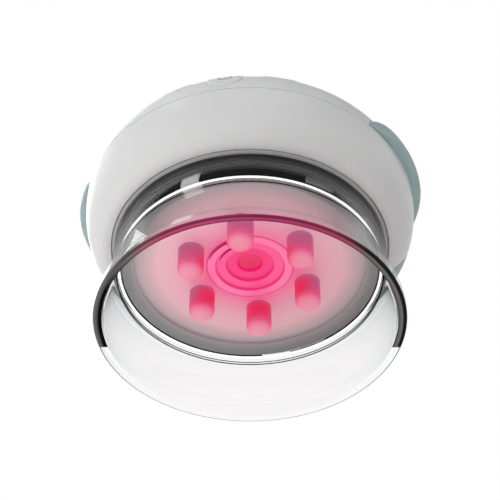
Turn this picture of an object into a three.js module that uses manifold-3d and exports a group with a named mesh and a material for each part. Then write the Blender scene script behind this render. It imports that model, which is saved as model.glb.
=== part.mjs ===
// A palm-held vacuum body massager: a round white body with soft side grips and three push buttons,
// a dark neck with a lit plate and six massage posts, and a clear suction cup that twists off.
// Millimetres, +Z up. The origin is on the middle axis, level with the rim that the cup stands on.
// The buttons face -Y, and the grips are at +X and -X.

import * as THREE from 'three';
import { mergeVertices } from 'three/addons/utils/BufferGeometryUtils.js';
import Module from 'manifold-3d';

const wasm = await Module();
wasm.setup();

// Fits between pieces
const clearance = 0.3;          // air kept where two pieces touch
const twistClearance = 0.4;     // air round the cup's neck, which turns
const overrun = 5.0;            // how far a cutting solid passes the faces it cuts

// Clear cup, measured up from its rim
const cupDepth = 20.9;          // rim to the lower edge of the straight neck
const cupNeckLength = 9.7;
const cupNeckWall = 1.3;
const cupWall = 1.6;
const cupFlare = 2.8;           // how far the wall spreads on its way down
const rimLipReach = 1.3;        // the lip stands out this far beyond the wall
const rimLipWidth = 2.7;
const rimLipHeight = 3.2;
const rimRounding = 1.0;

// Dark neck
const housingRadius = 42.2;
const housingWall = 2.0;
const housingLift = 1.5;        // its lower edge, up from the cup's straight neck
const housingStep = 1.0;        // step in where it passes through the lower shell
const edgeChamfer = 0.4;
const plateThickness = 1.5;     // its closed top
const plateRise = 3.6;          // from the lower shell's lip up to that top
const sealGrooveRise = 5.6;
const sealGrooveWidth = 1.6;
const sealGrooveDepth = 1.1;
const standoffRadius = 1.6;
const wireHoleRadius = 2.5;
const wireHoleInset = 14.6;     // in from the lamp board's edge

// Bayonet
const lugHeight = 2.2;
const lugRise = 2.7;            // above the cup neck's lower edge
const lugReach = 1.1;           // how far a lug stands in from the cup's neck
const slotGap = 0.5;            // air between a lug and the slot's floor

// Body shells
const openingStep = 2.7;        // lower shell's opening, out from the neck
const openingRecess = 1.7;      // step up round that opening
const bowlBulge = 9.5;          // from the opening out to the seam
const bowlDepth = 17.7;         // from the opening up to the seam
const shoulderRadius = 16.0;    // rounding from the seam up to the dome
const upperWall = 2.2;
const lowerWall = 3.2;
const seamGap = 0.3;
const seatRingDrop = 0.2;       // how far the seat ring stands out of the body
const tongueWidth = 0.7;        // ring that keys the lower shell into the upper one
const tongueHeight = 2.0;
const bossRadius = 3.0;
const bossInset = 5.2;          // in from the neck's outside
const bossBoreDepth = 12.0;
const gussetThickness = 1.2;
const gussetReach = 6.2;
const gussetHeight = 7.5;
const boardPegRadius = 1.8;
const boardPegInset = 7.0;

// Lit plate and the ring round it
const discRecess = 3.2;         // up from the neck's lower edge
const discThickness = 2.2;
const bezelWidth = 2.6;
const bezelOuterRise = 0.9;     // its outer edge, up from the neck's lower edge
const bezelThickness = 0.8;     // at its inner edge, against the plate
const bezelOverlap = 1.0;       // the neck's edge goes on with its slope for this width
const bezelOverlapRise = 0.5;

// Suction port in the middle of the plate, stepped up and in to a well
const wellRadius = 4.0;
const wellDepth = 1.6;
const innerStepWidth = 3.6;
const middleStepWidth = 3.4;
const outerStepWidth = 3.1;
const portStepHeight = 0.9;
const portFlangeWidth = 2.5;
const portFlangeThickness = 0.9;
const portBoreRadius = 1.5;
const stemRadius = 4.6;
const stemHeight = 2.2;         // above the neck's closed top
const barbRadius = 2.6;
const barbLength = 3.0;
const filterThickness = 0.8;
const filterHoleRadius = 0.5;

// Massage posts
const postRadius = 4.15;
const postGap = 1.75;           // between the port and a post
const postLength = 10.2;        // below the lit plate
const postDome = 3.1;           // height of the rounded tip
const postFlangeWidth = 1.25;
const postFlangeThickness = 1.0;

// Lamp board
const ledBoardThickness = 1.5;
const ledBoardInset = 1.6;      // in from the neck's inner wall
const ledInset = 8.6;           // lamps' ring, in from the board's edge
const ledWidth = 4.0;
const ledHeight = 1.4;
const lampStripThickness = 0.4;

// Side grips
const gripProud = 2.8;          // furthest stand-out beyond the seam
const gripInset = 15.0;         // the grip's own round form is this much smaller than the body
const gripRise = 15.0;          // rounding of that form's top
const gripHalfWidth = 24.5;
const gripHeight = 9.5;
const gripSeat = 1.0;           // depth of the seat in the upper shell

// Rear pad, flap, charging socket and its board
const rearPadDepth = 9.4;       // from the seam down
const rearPadThickness = 1.4;
const rearPadCorner = 2.0;
const flapWidth = 16.0;
const flapHeight = 6.0;
const flapDrop = 4.9;           // its middle, down from the seam
const flapThickness = 2.0;
const flapProud = 0.3;
const socketWidth = 9.6;
const socketHeight = 3.8;
const socketDepth = 7.5;
const socketWall = 0.5;
const portBoardThickness = 1.4;
const portBoardWidth = 14.0;
const portBoardDepth = 7.6;
const portBoardSetback = 2.8;
const portPegRadius = 1.4;

// Push buttons, measured from the middle of the shoulder's rounding along the way they are pressed
const buttonRadius = 5.7;
const buttonProud = 0.25;
const buttonTravel = 0.8;
const buttonSpacing = 16.1;     // middle button to a side one, across the body
const middleButtonDrop = 2.5;
const sideButtonRise = 3.9;
const buttonDepth = 8.8;        // shell's surface to the flange's top
const buttonFlangeWidth = 1.1;
const buttonFlangeThickness = 1.0;
const buttonStemRadius = 2.0;
const buttonStemLength = 1.0;
const switchSize = 6.0;
const switchHeight = 2.0;
const switchPlungerRadius = 1.6;
const switchPlungerHeight = 0.8;
const switchBoardThickness = 1.2;
const switchBoardWidth = 40.0;
const switchBoardBelow = 4.4;   // past the middle of the lowest switch
const switchBoardAbove = 5.8;   // past the middle of the highest switches
const switchPegSpacing = 8.0;
const switchPegInset = 2.0;
const switchPegRadius = 1.4;

// Battery, pump, valve and main board
const batteryRadius = 9.2;
const batteryInset = 21.9;      // each end, in from the seam
const batteryBack = 21.0;       // how far behind the middle its axis lies
const holderFloor = 1.5;
const holderWidth = 16.0;
const holderHeight = 6.0;
const holderEnd = 1.2;
const pumpGap = 0.85;           // air between the pump and the two front screw bosses
const motorRadius = 9.5;
const motorInset = 8.0;         // its left end, in from the screw bosses' inner edge
const motorTerminalLength = 2.0;
const motorTerminalRadius = 3.0;
const nippleRadius = 1.8;
const nippleLength = 2.5;
const bracketThickness = 1.4;
const bracketWidth = 14.0;
const bracketLength = 38.0;
const bracketLipHeight = 3.0;
const valveWidth = 11.0;
const valveDepth = 12.0;
const valveHeight = 16.0;
const valveSetback = 4.0;       // its middle, behind the pump's axis
const valveInset = 2.2;         // in from the screw bosses' inner edge
const mainBoardInset = 3.0;     // in from the screw bosses' inner edge
const mainBoardGap = 3.1;       // above the pump
const mainBoardThickness = 1.6;
const chipWidth = 10.0;
const chipHeight = 1.2;
const chipOffset = 12.0;
const tubeRadius = 2.0;
const tubeRise = 8.5;
const tubeSwing = 5.0;
const screwRadius = 1.2;
const screwBoreRadius = 1.6;
const screwHeadRadius = 2.6;
const screwHeadHeight = 1.5;
const screwLength = 11.0;

// Counts, powers, shares and angles
const bowlPower = 2.2;
const flarePower = 1.7;
const postPower = 2.6;
const filterHoleShare = 0.62;
const kneeShare = 0.8;
const postCount = 6;
const ledCount = 12;
const lugCount = 3;
const filterHoleCount = 6;
const shoulderDegrees = 62;
const pressDegrees = 38;        // the buttons are pressed in and down along this slope
const lugDegrees = 12;
const firstLugDegrees = -52;
const twistDegrees = 18;
const rearPadStart = 28.5;
const frontBossDegrees = -50;
const bossDegrees = [90, 0, 180, frontBossDegrees, -180 - frontBossDegrees];
const gussetDegrees = [-155, -110, -70, -25, 20, 65, 115, 160];
const boardPegDegrees = [-90, 30, 150];
const rightGripDegrees = -11.5;
const leftGripDegrees = 177;
const standoffDegrees = [-70, 50, 170];
const wireHoleDegrees = 60;

// How finely round forms are drawn
const roundSides = 44;
const innerSides = 32;
const boardSides = 24;
const portSides = 18;
const buttonSides = 18;
const smallSides = 12;
const fixingSides = 6;
const flareSteps = 3;
const rimSteps = 2;
const postSteps = 3;
const gripSteps = 3;
const gripEdgeSteps = 12;
const padSteps = 12;
const slotSteps = 5;
const lugSteps = 3;
const tubeSteps = 12;
const tubeSides = 6;
const outside = { sides: roundSides, shoulder: 5, crown: 4, bowl: 6 };
const inside = { sides: innerSides, shoulder: 3, crown: 2, bowl: 4 };

// Radii that follow from the sizes above
const housingInner = housingRadius - housingWall;
const housingNeckRadius = housingRadius - housingStep;
const cupNeckInner = housingRadius + twistClearance;
const cupNeckOuter = cupNeckInner + cupNeckWall;
const flareRadius = cupNeckOuter + cupFlare;
const rimRadius = flareRadius + rimLipReach;
const bodyBottomRadius = housingRadius + openingStep;
const seamRadius = bodyBottomRadius + bowlBulge;
const bossCircleRadius = housingRadius - bossInset;
const insideBosses = bossCircleRadius - bossRadius;
const mainBoardRadius = insideBosses - mainBoardInset;
const batteryLength = 2 * (seamRadius - batteryInset);
const portInnerRadius = wellRadius + innerStepWidth;
const portMiddleRadius = portInnerRadius + middleStepWidth;
const portRadius = portMiddleRadius + outerStepWidth;
const postCircleRadius = portRadius + postGap + postRadius;
const litRadius = housingInner - clearance;
const ledBoardRadius = housingInner - ledBoardInset;
const ledCircleRadius = ledBoardRadius - ledInset;
const gripReach = seamRadius + gripProud;
const gripRadius = seamRadius - gripInset;
const rightTurn = THREE.MathUtils.degToRad(rightGripDegrees);
const leftTurn = THREE.MathUtils.degToRad(leftGripDegrees);
const boardPegCircleRadius = mainBoardRadius - boardPegInset;
const socketFront = seamRadius - flapThickness - rearPadThickness;
const portBoardFront = socketFront - portBoardSetback;
const portBoardBack = portBoardFront - portBoardDepth;

// Heights, from the rim upwards
const housingBottom = cupDepth + housingLift;
const lugBottom = cupDepth + lugRise;
const sealGrooveHeight = housingBottom + sealGrooveRise;
const discHeight = housingBottom + discRecess;
const discTop = discHeight + discThickness;
const postTip = discHeight - postLength;
const postFlangeBottom = discTop + clearance;
const portFlangeBottom = postFlangeBottom + postFlangeThickness + clearance;
const portFlangeTop = portFlangeBottom + portFlangeThickness;
const ledBoardBottom = portFlangeTop + clearance;
const ledBoardTop = ledBoardBottom + ledBoardThickness;
const cupTop = cupDepth + cupNeckLength;
const seatRingBottom = cupTop + twistClearance;
const bodyBottomHeight = seatRingBottom + seatRingDrop;
const lipBottom = bodyBottomHeight + openingRecess;
const lipTop = bodyBottomHeight + lowerWall;
const plateTop = lipBottom + plateRise;
const plateBottom = plateTop - plateThickness;
const onPlate = plateTop + clearance;
const barbTop = plateTop + stemHeight + barbLength;
const seamHeight = bodyBottomHeight + bowlDepth;
const lowerShellTop = seamHeight - seamGap / 2;
const upperShellBottom = seamHeight + seamGap / 2;
const rearPadBottom = seamHeight - rearPadDepth;
const flapMiddle = seamHeight - flapDrop;
const portBoardBottom = flapMiddle - socketHeight / 2 - clearance - portBoardThickness;
const cellAxisHeight = onPlate + holderFloor + clearance + batteryRadius;
const pumpAxisHeight = onPlate + bracketThickness + clearance + motorRadius;
const mainBoardHeight = pumpAxisHeight + motorRadius + mainBoardGap;

// Levels along the buttons' way of travel, from the middle of the shoulder's rounding
const buttonFlangeRadius = buttonRadius + buttonFlangeWidth;
const buttonFlangeLevel = shoulderRadius - buttonDepth;
const buttonFlangeBottom = buttonFlangeLevel - buttonFlangeThickness;
const buttonStemEnd = buttonFlangeBottom - buttonStemLength;
const switchTop = buttonStemEnd - buttonTravel - clearance / 2;
const switchBottom = switchTop - switchPlungerHeight - switchHeight;
const switchBoardLevel = switchBottom - clearance;
const switchBoardStart = -middleButtonDrop - switchBoardBelow;
const switchBoardEnd = sideButtonRise + switchBoardAbove;

// Places across the body
const headWidth = 2 * motorRadius;
const frontBossReach = bossCircleRadius * Math.sin(THREE.MathUtils.degToRad(-frontBossDegrees));
const pumpFront = frontBossReach - bossRadius - pumpGap - motorRadius;
const valveLeft = insideBosses - valveInset - valveWidth;
const headRight = valveLeft - clearance - nippleLength;
const headLeft = headRight - headWidth;
const motorRight = headLeft - clearance;
const motorLeft = motorInset - insideBosses;
const pumpInletX = (headLeft + headRight) / 2;
const pumpInletHeight = barbTop + tubeRise;
const pumpBack = headWidth / 2 - pumpFront;
const valveFront = pumpFront - valveSetback;
const clearanceDegrees = THREE.MathUtils.radToDeg(clearance / seamRadius);

// Turns a closed geometry into a solid, whichever way its faces were wound.
function solid(geometry) {
  const bare = geometry.clone();
  bare.deleteAttribute('normal');
  bare.deleteAttribute('uv');
  const merged = mergeVertices(bare);
  const position = merged.attributes.position;
  const triangles = [];
  let volume = 0;
  const a = new THREE.Vector3();
  const b = new THREE.Vector3();
  const c = new THREE.Vector3();
  for (let i = 0; i < merged.index.count; i += 3) {
    const corners = [0, 1, 2].map((k) => merged.index.getX(i + k));
    if (new Set(corners).size < 3) continue;
    a.fromBufferAttribute(position, corners[0]);
    b.fromBufferAttribute(position, corners[1]);
    c.fromBufferAttribute(position, corners[2]);
    volume += a.dot(b.clone().cross(c));
    triangles.push(...corners);
  }
  if (volume < 0) triangles.reverse();
  const mesh = new wasm.Mesh({
    numProp: 3,
    vertProperties: new Float32Array(position.array),
    triVerts: new Uint32Array(triangles),
  });
  return new wasm.Manifold(mesh);
}

// Gives the vertices and triangles of a solid back as a geometry.
function geometryOf(body) {
  const mesh = body.getMesh();
  const geometry = new THREE.BufferGeometry();
  geometry.setAttribute('position', new THREE.BufferAttribute(new Float32Array(mesh.vertProperties), 3));
  geometry.setIndex(new THREE.BufferAttribute(new Uint32Array(mesh.triVerts), 1));
  geometry.computeVertexNormals();
  return geometry;
}

// A form turned about the middle axis, from [radius, height] pairs.
// An outline off the axis is closed back to its first pair.
function turned(outline, sides = roundSides) {
  const points = outline.map(([radius, height]) => new THREE.Vector2(radius, height));
  if (outline[0][0] > 0) points.push(points[0].clone());
  return new THREE.LatheGeometry(points, sides).rotateX(Math.PI / 2);
}

const revolve = (outline, sides) => solid(turned(outline, sides));

function ring(inner, outer, bottom, top, sides) {
  return revolve([[inner, bottom], [outer, bottom], [outer, top], [inner, top]], sides);
}

// An upright cylinder between two heights, as a geometry and as a solid.
function rodForm(radius, bottom, top, x, y, sides) {
  const geometry = new THREE.CylinderGeometry(radius, radius, top - bottom, sides).rotateX(Math.PI / 2);
  return geometry.translate(x, y, (bottom + top) / 2);
}

function rod(radius, bottom, top, x = 0, y = 0, sides = smallSides) {
  return solid(rodForm(radius, bottom, top, x, y, sides));
}

// A cylinder along X between two places.
function rodAlongX(radius, from, to, y, z, sides = portSides) {
  const geometry = new THREE.CylinderGeometry(radius, radius, to - from, sides).rotateZ(Math.PI / 2);
  return solid(geometry.translate((from + to) / 2, y, z));
}

// A box between two corners.
function block(low, high) {
  const size = high.map((value, k) => value - low[k]);
  const middle = high.map((value, k) => (value + low[k]) / 2);
  return solid(new THREE.BoxGeometry(...size).translate(...middle));
}

// A piece of a ring between two radii, two heights and two angles in degrees.
function ringSector(inner, outer, bottom, top, start, end, steps) {
  const from = THREE.MathUtils.degToRad(start);
  const to = THREE.MathUtils.degToRad(end);
  const shape = new THREE.Shape();
  shape.absarc(0, 0, outer, from, to, false);
  shape.absarc(0, 0, inner, to, from, true);
  const geometry = new THREE.ExtrudeGeometry(shape, {
    depth: top - bottom,
    bevelEnabled: false,
    curveSegments: steps,
  });
  return solid(geometry.translate(0, 0, bottom));
}

function polar(radius, degrees) {
  const angle = THREE.MathUtils.degToRad(degrees);
  return [radius * Math.cos(angle), radius * Math.sin(angle)];
}

function union(solids) {
  return solids.reduce((sum, next) => sum.add(next));
}

// Outline of the lower shell's side, from the opening's edge up to the seam, drawn in by an offset.
function bowlOutline(offset, steps) {
  const width = bowlBulge - offset;
  const depth = bowlDepth - offset;
  const outline = [];
  for (let i = 0; i <= steps; i += 1) {
    const angle = (Math.PI / 2) * (1 - i / steps);
    const across = Math.max(Math.cos(angle), 0) ** (2 / bowlPower);
    const down = Math.sin(angle) ** (2 / bowlPower);
    outline.push([bodyBottomRadius + width * across, seamHeight - depth * down]);
  }
  return outline;
}

// Outline of the upper shell, from the seam over the shoulder to the axis, drawn in by an offset.
function domeOutline(offset, { shoulder, crown }) {
  const turn = THREE.MathUtils.degToRad(shoulderDegrees);
  const shoulderCentre = seamRadius - shoulderRadius;
  const domeRadius = shoulderRadius + shoulderCentre / Math.cos(turn);
  const domeCentre = seamHeight - shoulderCentre * Math.tan(turn);
  const outline = [];
  for (let i = 0; i <= shoulder; i += 1) {
    const angle = (turn * i) / shoulder;
    const radius = shoulderRadius - offset;
    outline.push([shoulderCentre + radius * Math.cos(angle), seamHeight + radius * Math.sin(angle)]);
  }
  for (let i = 1; i <= crown; i += 1) {
    const angle = turn + ((Math.PI / 2 - turn) * i) / crown;
    const radius = domeRadius - offset;
    const across = i === crown ? 0 : radius * Math.cos(angle);
    outline.push([across, domeCentre + radius * Math.sin(angle)]);
  }
  return outline;
}

// The space under the upper shell's surface, open downwards.
function domeForm(offset, bottom, detail) {
  const outline = domeOutline(offset, detail);
  return turned([[0, bottom], [seamRadius - offset, bottom], ...outline], detail.sides);
}

function underDome(offset, bottom = 0, detail = outside) {
  return solid(domeForm(offset, bottom, detail));
}

// The space inside the lower shell's surface.
function inBowl(offset, top, detail = outside) {
  const side = bowlOutline(offset, detail.bowl);
  const floor = side[0][1];
  return revolve([[0, floor], ...side, [side.at(-1)[0], top], [0, top]], detail.sides);
}

// Finishes
const finish = (color, roughness, metalness = 0, opacity = 1) =>
  new THREE.MeshStandardMaterial({ color, roughness, metalness, opacity, transparent: opacity < 1 });
const whitePlastic = finish(0xefefee, 0.38);
const tealRubber = finish(0x86aea8, 0.6);
const darkGloss = finish(0x3b3b3d, 0.12);
const greyPlastic = finish(0x8b8a8b, 0.3);
const clearPlastic = finish(0xf4f6f7, 0.05, 0, 0.35);
const frostedPlate = finish(0xe79bb0, 0.45);
const rosePlastic = finish(0xe0527f, 0.3);
const blackRubber = finish(0x1c1c1e, 0.7);
const boardGreen = finish(0x1f5b3a, 0.5);
const lampWhite = finish(0xf4d9d2, 0.25);
const steel = finish(0xb9bcc0, 0.3, 1);
const cellWrap = finish(0x3566a8, 0.4);
const nylon = finish(0xd8d5cb, 0.5);
const siliconeTube = finish(0xe6e8e6, 0.35);

const massager = new THREE.Group();

// Adds a named piece to a group, at its place in that group and turned about the group's Z.
function addPiece(name, body, material, { group = massager, place = [0, 0, 0], turn = 0 } = {}) {
  const mesh = new THREE.Mesh(geometryOf(body), material);
  mesh.name = name;
  mesh.position.set(...place);
  mesh.rotation.z = turn;
  group.add(mesh);
}

// The buttons and their switches share a group whose +Z points out along the way they are pressed.
const keypad = new THREE.Group();
keypad.position.set(0, shoulderRadius - seamRadius, seamHeight);
keypad.rotation.x = THREE.MathUtils.degToRad(90 - pressDegrees);
keypad.updateMatrix();
massager.add(keypad);

const keys = [
  { name: 'light', x: -buttonSpacing, rise: sideButtonRise },
  { name: 'power', x: 0, rise: -middleButtonDrop },
  { name: 'suction', x: buttonSpacing, rise: sideButtonRise },
];

// A cylinder that stands in the keypad's group, as a solid in the body's own frame.
function keypadRod(radius, from, to, x, rise, sides) {
  return solid(rodForm(radius, from, to, x, rise, sides).applyMatrix4(keypad.matrix));
}

// The side grip's outline, seen along X, as a prism at +X.
function gripPrism(extra) {
  const width = gripHalfWidth + extra;
  const shape = new THREE.Shape();
  shape.moveTo(-width, seamHeight - overrun);
  shape.lineTo(width, seamHeight - overrun);
  shape.lineTo(width, seamHeight);
  shape.absellipse(0, seamHeight, width, gripHeight + extra, 0, Math.PI, false, 0);
  const geometry = new THREE.ExtrudeGeometry(shape, {
    depth: gripReach,
    bevelEnabled: false,
    curveSegments: gripEdgeSteps,
  });
  const alongX = new THREE.Matrix4().makeBasis(
    new THREE.Vector3(0, 1, 0),
    new THREE.Vector3(0, 0, 1),
    new THREE.Vector3(1, 0, 0),
  );
  return geometry.applyMatrix4(alongX).translate(gripHalfWidth / 2, 0, 0);
}

// A soft grip: a smaller round form set out to the side, cut by the shell that it sits on.
function grip() {
  const outline = [[0, upperShellBottom]];
  for (let i = 0; i <= gripSteps; i += 1) {
    const angle = (Math.PI / 2) * (i / gripSteps);
    outline.push([
      gripRadius - gripRise * (1 - Math.cos(angle)),
      upperShellBottom + gripRise * Math.sin(angle),
    ]);
  }
  outline.push([0, upperShellBottom + gripRise]);
  return solid(turned(outline).translate(gripReach - gripRadius, 0, 0))
    .intersect(solid(gripPrism(0)))
    .subtract(underDome(gripSeat - clearance));
}

// Upper shell: a thin dome with screw bosses, board pegs, seats for the grips and button holes.
function upperShell() {
  const skin = underDome(0)
    .subtract(rod(seamRadius + overrun, -overrun, upperShellBottom, 0, 0, innerSides))
    .subtract(underDome(upperWall, -overrun, inside));
  const fixings = [];
  for (const degrees of bossDegrees) {
    const [x, y] = polar(bossCircleRadius, degrees);
    const boss = rod(bossRadius, onPlate, seamHeight + seamRadius, x, y);
    fixings.push(boss.subtract(rod(screwBoreRadius, 0, onPlate + bossBoreDepth, x, y, fixingSides)));
  }
  for (const degrees of boardPegDegrees) {
    const [x, y] = polar(boardPegCircleRadius, degrees);
    const bottom = mainBoardHeight + mainBoardThickness + clearance;
    fixings.push(rod(boardPegRadius, bottom, seamHeight + seamRadius, x, y, fixingSides));
  }
  for (const x of [-switchPegSpacing, switchPegSpacing]) {
    const start = switchBoardLevel + clearance;
    const rise = switchBoardEnd - switchPegInset;
    fixings.push(keypadRod(switchPegRadius, start, start + seamRadius, x, rise, fixingSides));
  }
  let shell = skin.add(union(fixings).intersect(underDome(upperWall / 2, 0, inside)));
  for (const { x, rise } of keys) {
    const start = buttonFlangeLevel - overrun;
    const hole = keypadRod(buttonRadius + clearance, start, start + seamRadius, x, rise, buttonSides);
    shell = shell.subtract(hole);
  }
  for (const turn of [rightTurn, leftTurn]) {
    const seat = solid(gripPrism(clearance).rotateZ(turn));
    shell = shell.subtract(seat.subtract(underDome(gripSeat)));
  }
  return shell;
}

// The part of the body's back that the rear pad covers, with rounded lower corners.
function rearWedge(extra, extraDegrees, top) {
  const start = rearPadStart - extraDegrees;
  const outer = seamRadius + overrun;
  const bottom = rearPadBottom - extra;
  const cornerDegrees = THREE.MathUtils.radToDeg(rearPadCorner / seamRadius);
  const middle = bottom + rearPadCorner;
  const ends = [start + cornerDegrees, 180 - start - cornerDegrees];
  const upper = ringSector(bodyBottomRadius, outer, middle, top, start, 180 - start, padSteps);
  const lower = ringSector(bodyBottomRadius, outer, bottom, top, ...ends, padSteps);
  const corners = ends.map((degrees) => {
    const corner = rodAlongX(rearPadCorner, bodyBottomRadius, outer, 0, middle, smallSides);
    return corner.rotate([0, 0, degrees]);
  });
  return upper.add(lower).add(union(corners));
}

// The flap's outline, seen from the back, as a block.
function flapBlock(extra) {
  const side = flapWidth / 2 + extra;
  const rise = flapHeight / 2 + extra;
  return block(
    [-side, bodyBottomRadius, flapMiddle - rise],
    [side, seamRadius + overrun, flapMiddle + rise],
  );
}

// Stiffening ribs inside the lower shell, each a thin triangle standing on its floor.
function gussets() {
  const foot = lipTop - clearance;
  const shape = new THREE.Shape([
    new THREE.Vector2(bodyBottomRadius, foot),
    new THREE.Vector2(bodyBottomRadius + gussetReach, foot),
    new THREE.Vector2(bodyBottomRadius + gussetReach, lipTop + gussetHeight),
  ]);
  return gussetDegrees.map((degrees) => {
    const geometry = new THREE.ExtrudeGeometry(shape, { depth: gussetThickness, bevelEnabled: false });
    geometry.rotateX(Math.PI / 2).translate(0, gussetThickness / 2, 0);
    return solid(geometry.rotateZ(THREE.MathUtils.degToRad(degrees)));
  });
}

// Lower shell: a bowl open at the neck, with a lip that bears on the neck, ribs, and pegs for a board.
function lowerShell() {
  const skin = inBowl(0, seamHeight)
    .subtract(rod(seamRadius + overrun, lowerShellTop, seamHeight + overrun, 0, 0, innerSides))
    .subtract(inBowl(lowerWall, seamHeight + overrun, inside));
  const tongueOuter = seamRadius - upperWall - 2 * clearance;
  const tongue = ring(tongueOuter - tongueWidth, tongueOuter, lowerShellTop - tongueHeight / 2,
    lowerShellTop + tongueHeight);
  const fixings = gussets();
  const pegX = portBoardWidth / 2 - portPegRadius;
  const pegY = portBoardFront - 2 * portPegRadius;
  for (const x of [-pegX, pegX]) {
    const top = portBoardBottom - clearance;
    fixings.push(rod(portPegRadius, lipTop - clearance, top, x, pegY, fixingSides));
  }
  const flangeSpace = keypadRod(buttonFlangeRadius + clearance, switchTop, buttonFlangeLevel + clearance,
    0, -middleButtonDrop, buttonSides);
  const capSpace = keypadRod(buttonRadius + clearance, switchTop, buttonFlangeLevel + overrun,
    0, -middleButtonDrop, buttonSides);
  const padSeat = rearWedge(clearance, clearanceDegrees, seamHeight + overrun)
    .subtract(inBowl(rearPadThickness + clearance, seamHeight + 2 * overrun));
  return skin
    .add(tongue)
    .add(union(fixings).intersect(inBowl(lowerWall / 2, lowerShellTop, inside)))
    .subtract(rod(housingNeckRadius + clearance, housingBottom, lipTop + clearance, 0, 0, roundSides))
    .subtract(rod(bodyBottomRadius, housingBottom, lipBottom, 0, 0, roundSides))
    .subtract(padSeat)
    .subtract(flapBlock(clearance))
    .subtract(flangeSpace.add(capSpace));
}

function seatRing() {
  const outer = bodyBottomRadius - clearance;
  return ring(housingRadius + clearance, outer, seatRingBottom, lipBottom - clearance);
}

function rearPad() {
  return rearWedge(0, 0, lowerShellTop)
    .intersect(inBowl(0, seamHeight))
    .subtract(inBowl(rearPadThickness, seamHeight + overrun))
    .subtract(flapBlock(clearance));
}

function portCover() {
  return flapBlock(0)
    .intersect(inBowl(-flapProud, seamHeight))
    .subtract(inBowl(flapThickness, seamHeight + overrun));
}

function chargingSocket() {
  const side = socketWidth / 2;
  const rise = socketHeight / 2;
  const mouth = block(
    [-side + socketWall, socketFront - socketDepth + 2 * socketWall, flapMiddle - rise + socketWall],
    [side - socketWall, socketFront + overrun, flapMiddle + rise - socketWall],
  );
  const shell = block(
    [-side, socketFront - socketDepth, flapMiddle - rise],
    [side, socketFront, flapMiddle + rise],
  );
  return shell.subtract(mouth);
}

function portBoard() {
  const side = portBoardWidth / 2;
  return block(
    [-side, portBoardBack, portBoardBottom],
    [side, portBoardFront, portBoardBottom + portBoardThickness],
  );
}

const lugAngles = Array.from({ length: lugCount }, (_, i) => firstLugDegrees + (360 * i) / lugCount);
const postAngles = Array.from({ length: postCount }, (_, i) => -90 + (360 * i) / postCount);

// The L-shaped slots: each lug goes up at the open end and turns round to the closed one.
function bayonetSlots() {
  const half = lugDegrees / 2 + 2 * clearanceDegrees;
  const low = lugBottom - clearance;
  const high = lugBottom + lugHeight + clearance;
  const floor = cupNeckInner - lugReach - slotGap;
  const outer = housingRadius + overrun;
  return union(lugAngles.map((angle) => {
    const open = angle + twistDegrees;
    return ringSector(floor, outer, low, high, angle - half, open + half, slotSteps)
      .add(ringSector(floor, outer, housingBottom - overrun, high, open - half, open + half, lugSteps));
  }));
}

// The neck: a dark cap with a seal groove, bayonet slots, and standoffs for the lamp board.
function lightHousing() {
  const shoulder = lipBottom - clearance;
  const holeBottom = plateBottom - overrun;
  const holeTop = plateTop + overrun;
  const cap = revolve([
    [0, plateBottom],
    [housingInner, plateBottom],
    [housingInner, housingBottom + bezelOverlapRise],
    [housingInner + bezelOverlap, housingBottom],
    [housingRadius - edgeChamfer, housingBottom],
    [housingRadius, housingBottom + edgeChamfer],
    [housingRadius, shoulder],
    [housingNeckRadius, shoulder],
    [housingNeckRadius, plateTop],
    [0, plateTop],
  ]);
  const [wireX, wireY] = polar(ledBoardRadius - wireHoleInset, wireHoleDegrees);
  const cuts = [
    ring(housingRadius - sealGrooveDepth, housingRadius + overrun, sealGrooveHeight,
      sealGrooveHeight + sealGrooveWidth),
    bayonetSlots(),
    rod(stemRadius + clearance, holeBottom, holeTop),
    rod(wireHoleRadius, holeBottom, holeTop, wireX, wireY, fixingSides),
  ];
  for (const degrees of bossDegrees) {
    const [x, y] = polar(bossCircleRadius, degrees);
    cuts.push(rod(screwBoreRadius, holeBottom, holeTop, x, y, fixingSides));
  }
  const standoffs = standoffDegrees.map((degrees) => {
    const [x, y] = polar(ledCircleRadius, degrees);
    return rod(standoffRadius, ledBoardTop + clearance, plateTop - clearance, x, y, fixingSides);
  });
  return cap.subtract(union(cuts)).add(union(standoffs));
}

function sealRing() {
  const floor = housingRadius - sealGrooveDepth + clearance;
  return ring(floor, cupNeckInner - clearance, sealGrooveHeight + clearance,
    sealGrooveHeight + sealGrooveWidth - clearance);
}

// A shallow cone that leads the eye from the neck's edge up to the plate.
function bezelRing() {
  const top = discHeight - clearance;
  return revolve([
    [litRadius - bezelWidth, top - bezelThickness],
    [litRadius, housingBottom + bezelOuterRise],
    [litRadius, top],
    [litRadius - bezelWidth, top],
  ]);
}

function lightDisc() {
  const holes = postAngles.map((degrees) => {
    const [x, y] = polar(postCircleRadius, degrees);
    return rod(postRadius + clearance, discHeight - overrun, discTop + overrun, x, y);
  });
  return ring(portRadius + clearance, litRadius, discHeight, discTop).subtract(union(holes));
}

// A massage post on its own axis: a rounded tip, a straight side, and a flange above the plate.
function post() {
  const flangeTop = postFlangeBottom + postFlangeThickness;
  const outline = [];
  for (let i = 0; i <= postSteps; i += 1) {
    const angle = (Math.PI / 2) * (i / postSteps);
    const across = i === 0 ? 0 : postRadius * Math.sin(angle) ** (2 / postPower);
    const down = Math.max(Math.cos(angle), 0) ** (2 / postPower);
    outline.push([across, postTip + postDome * (1 - down)]);
  }
  outline.push([postRadius, postFlangeBottom]);
  outline.push([postRadius + postFlangeWidth, postFlangeBottom]);
  outline.push([postRadius + postFlangeWidth, flangeTop]);
  outline.push([0, flangeTop]);
  return revolve(outline, smallSides);
}

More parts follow.
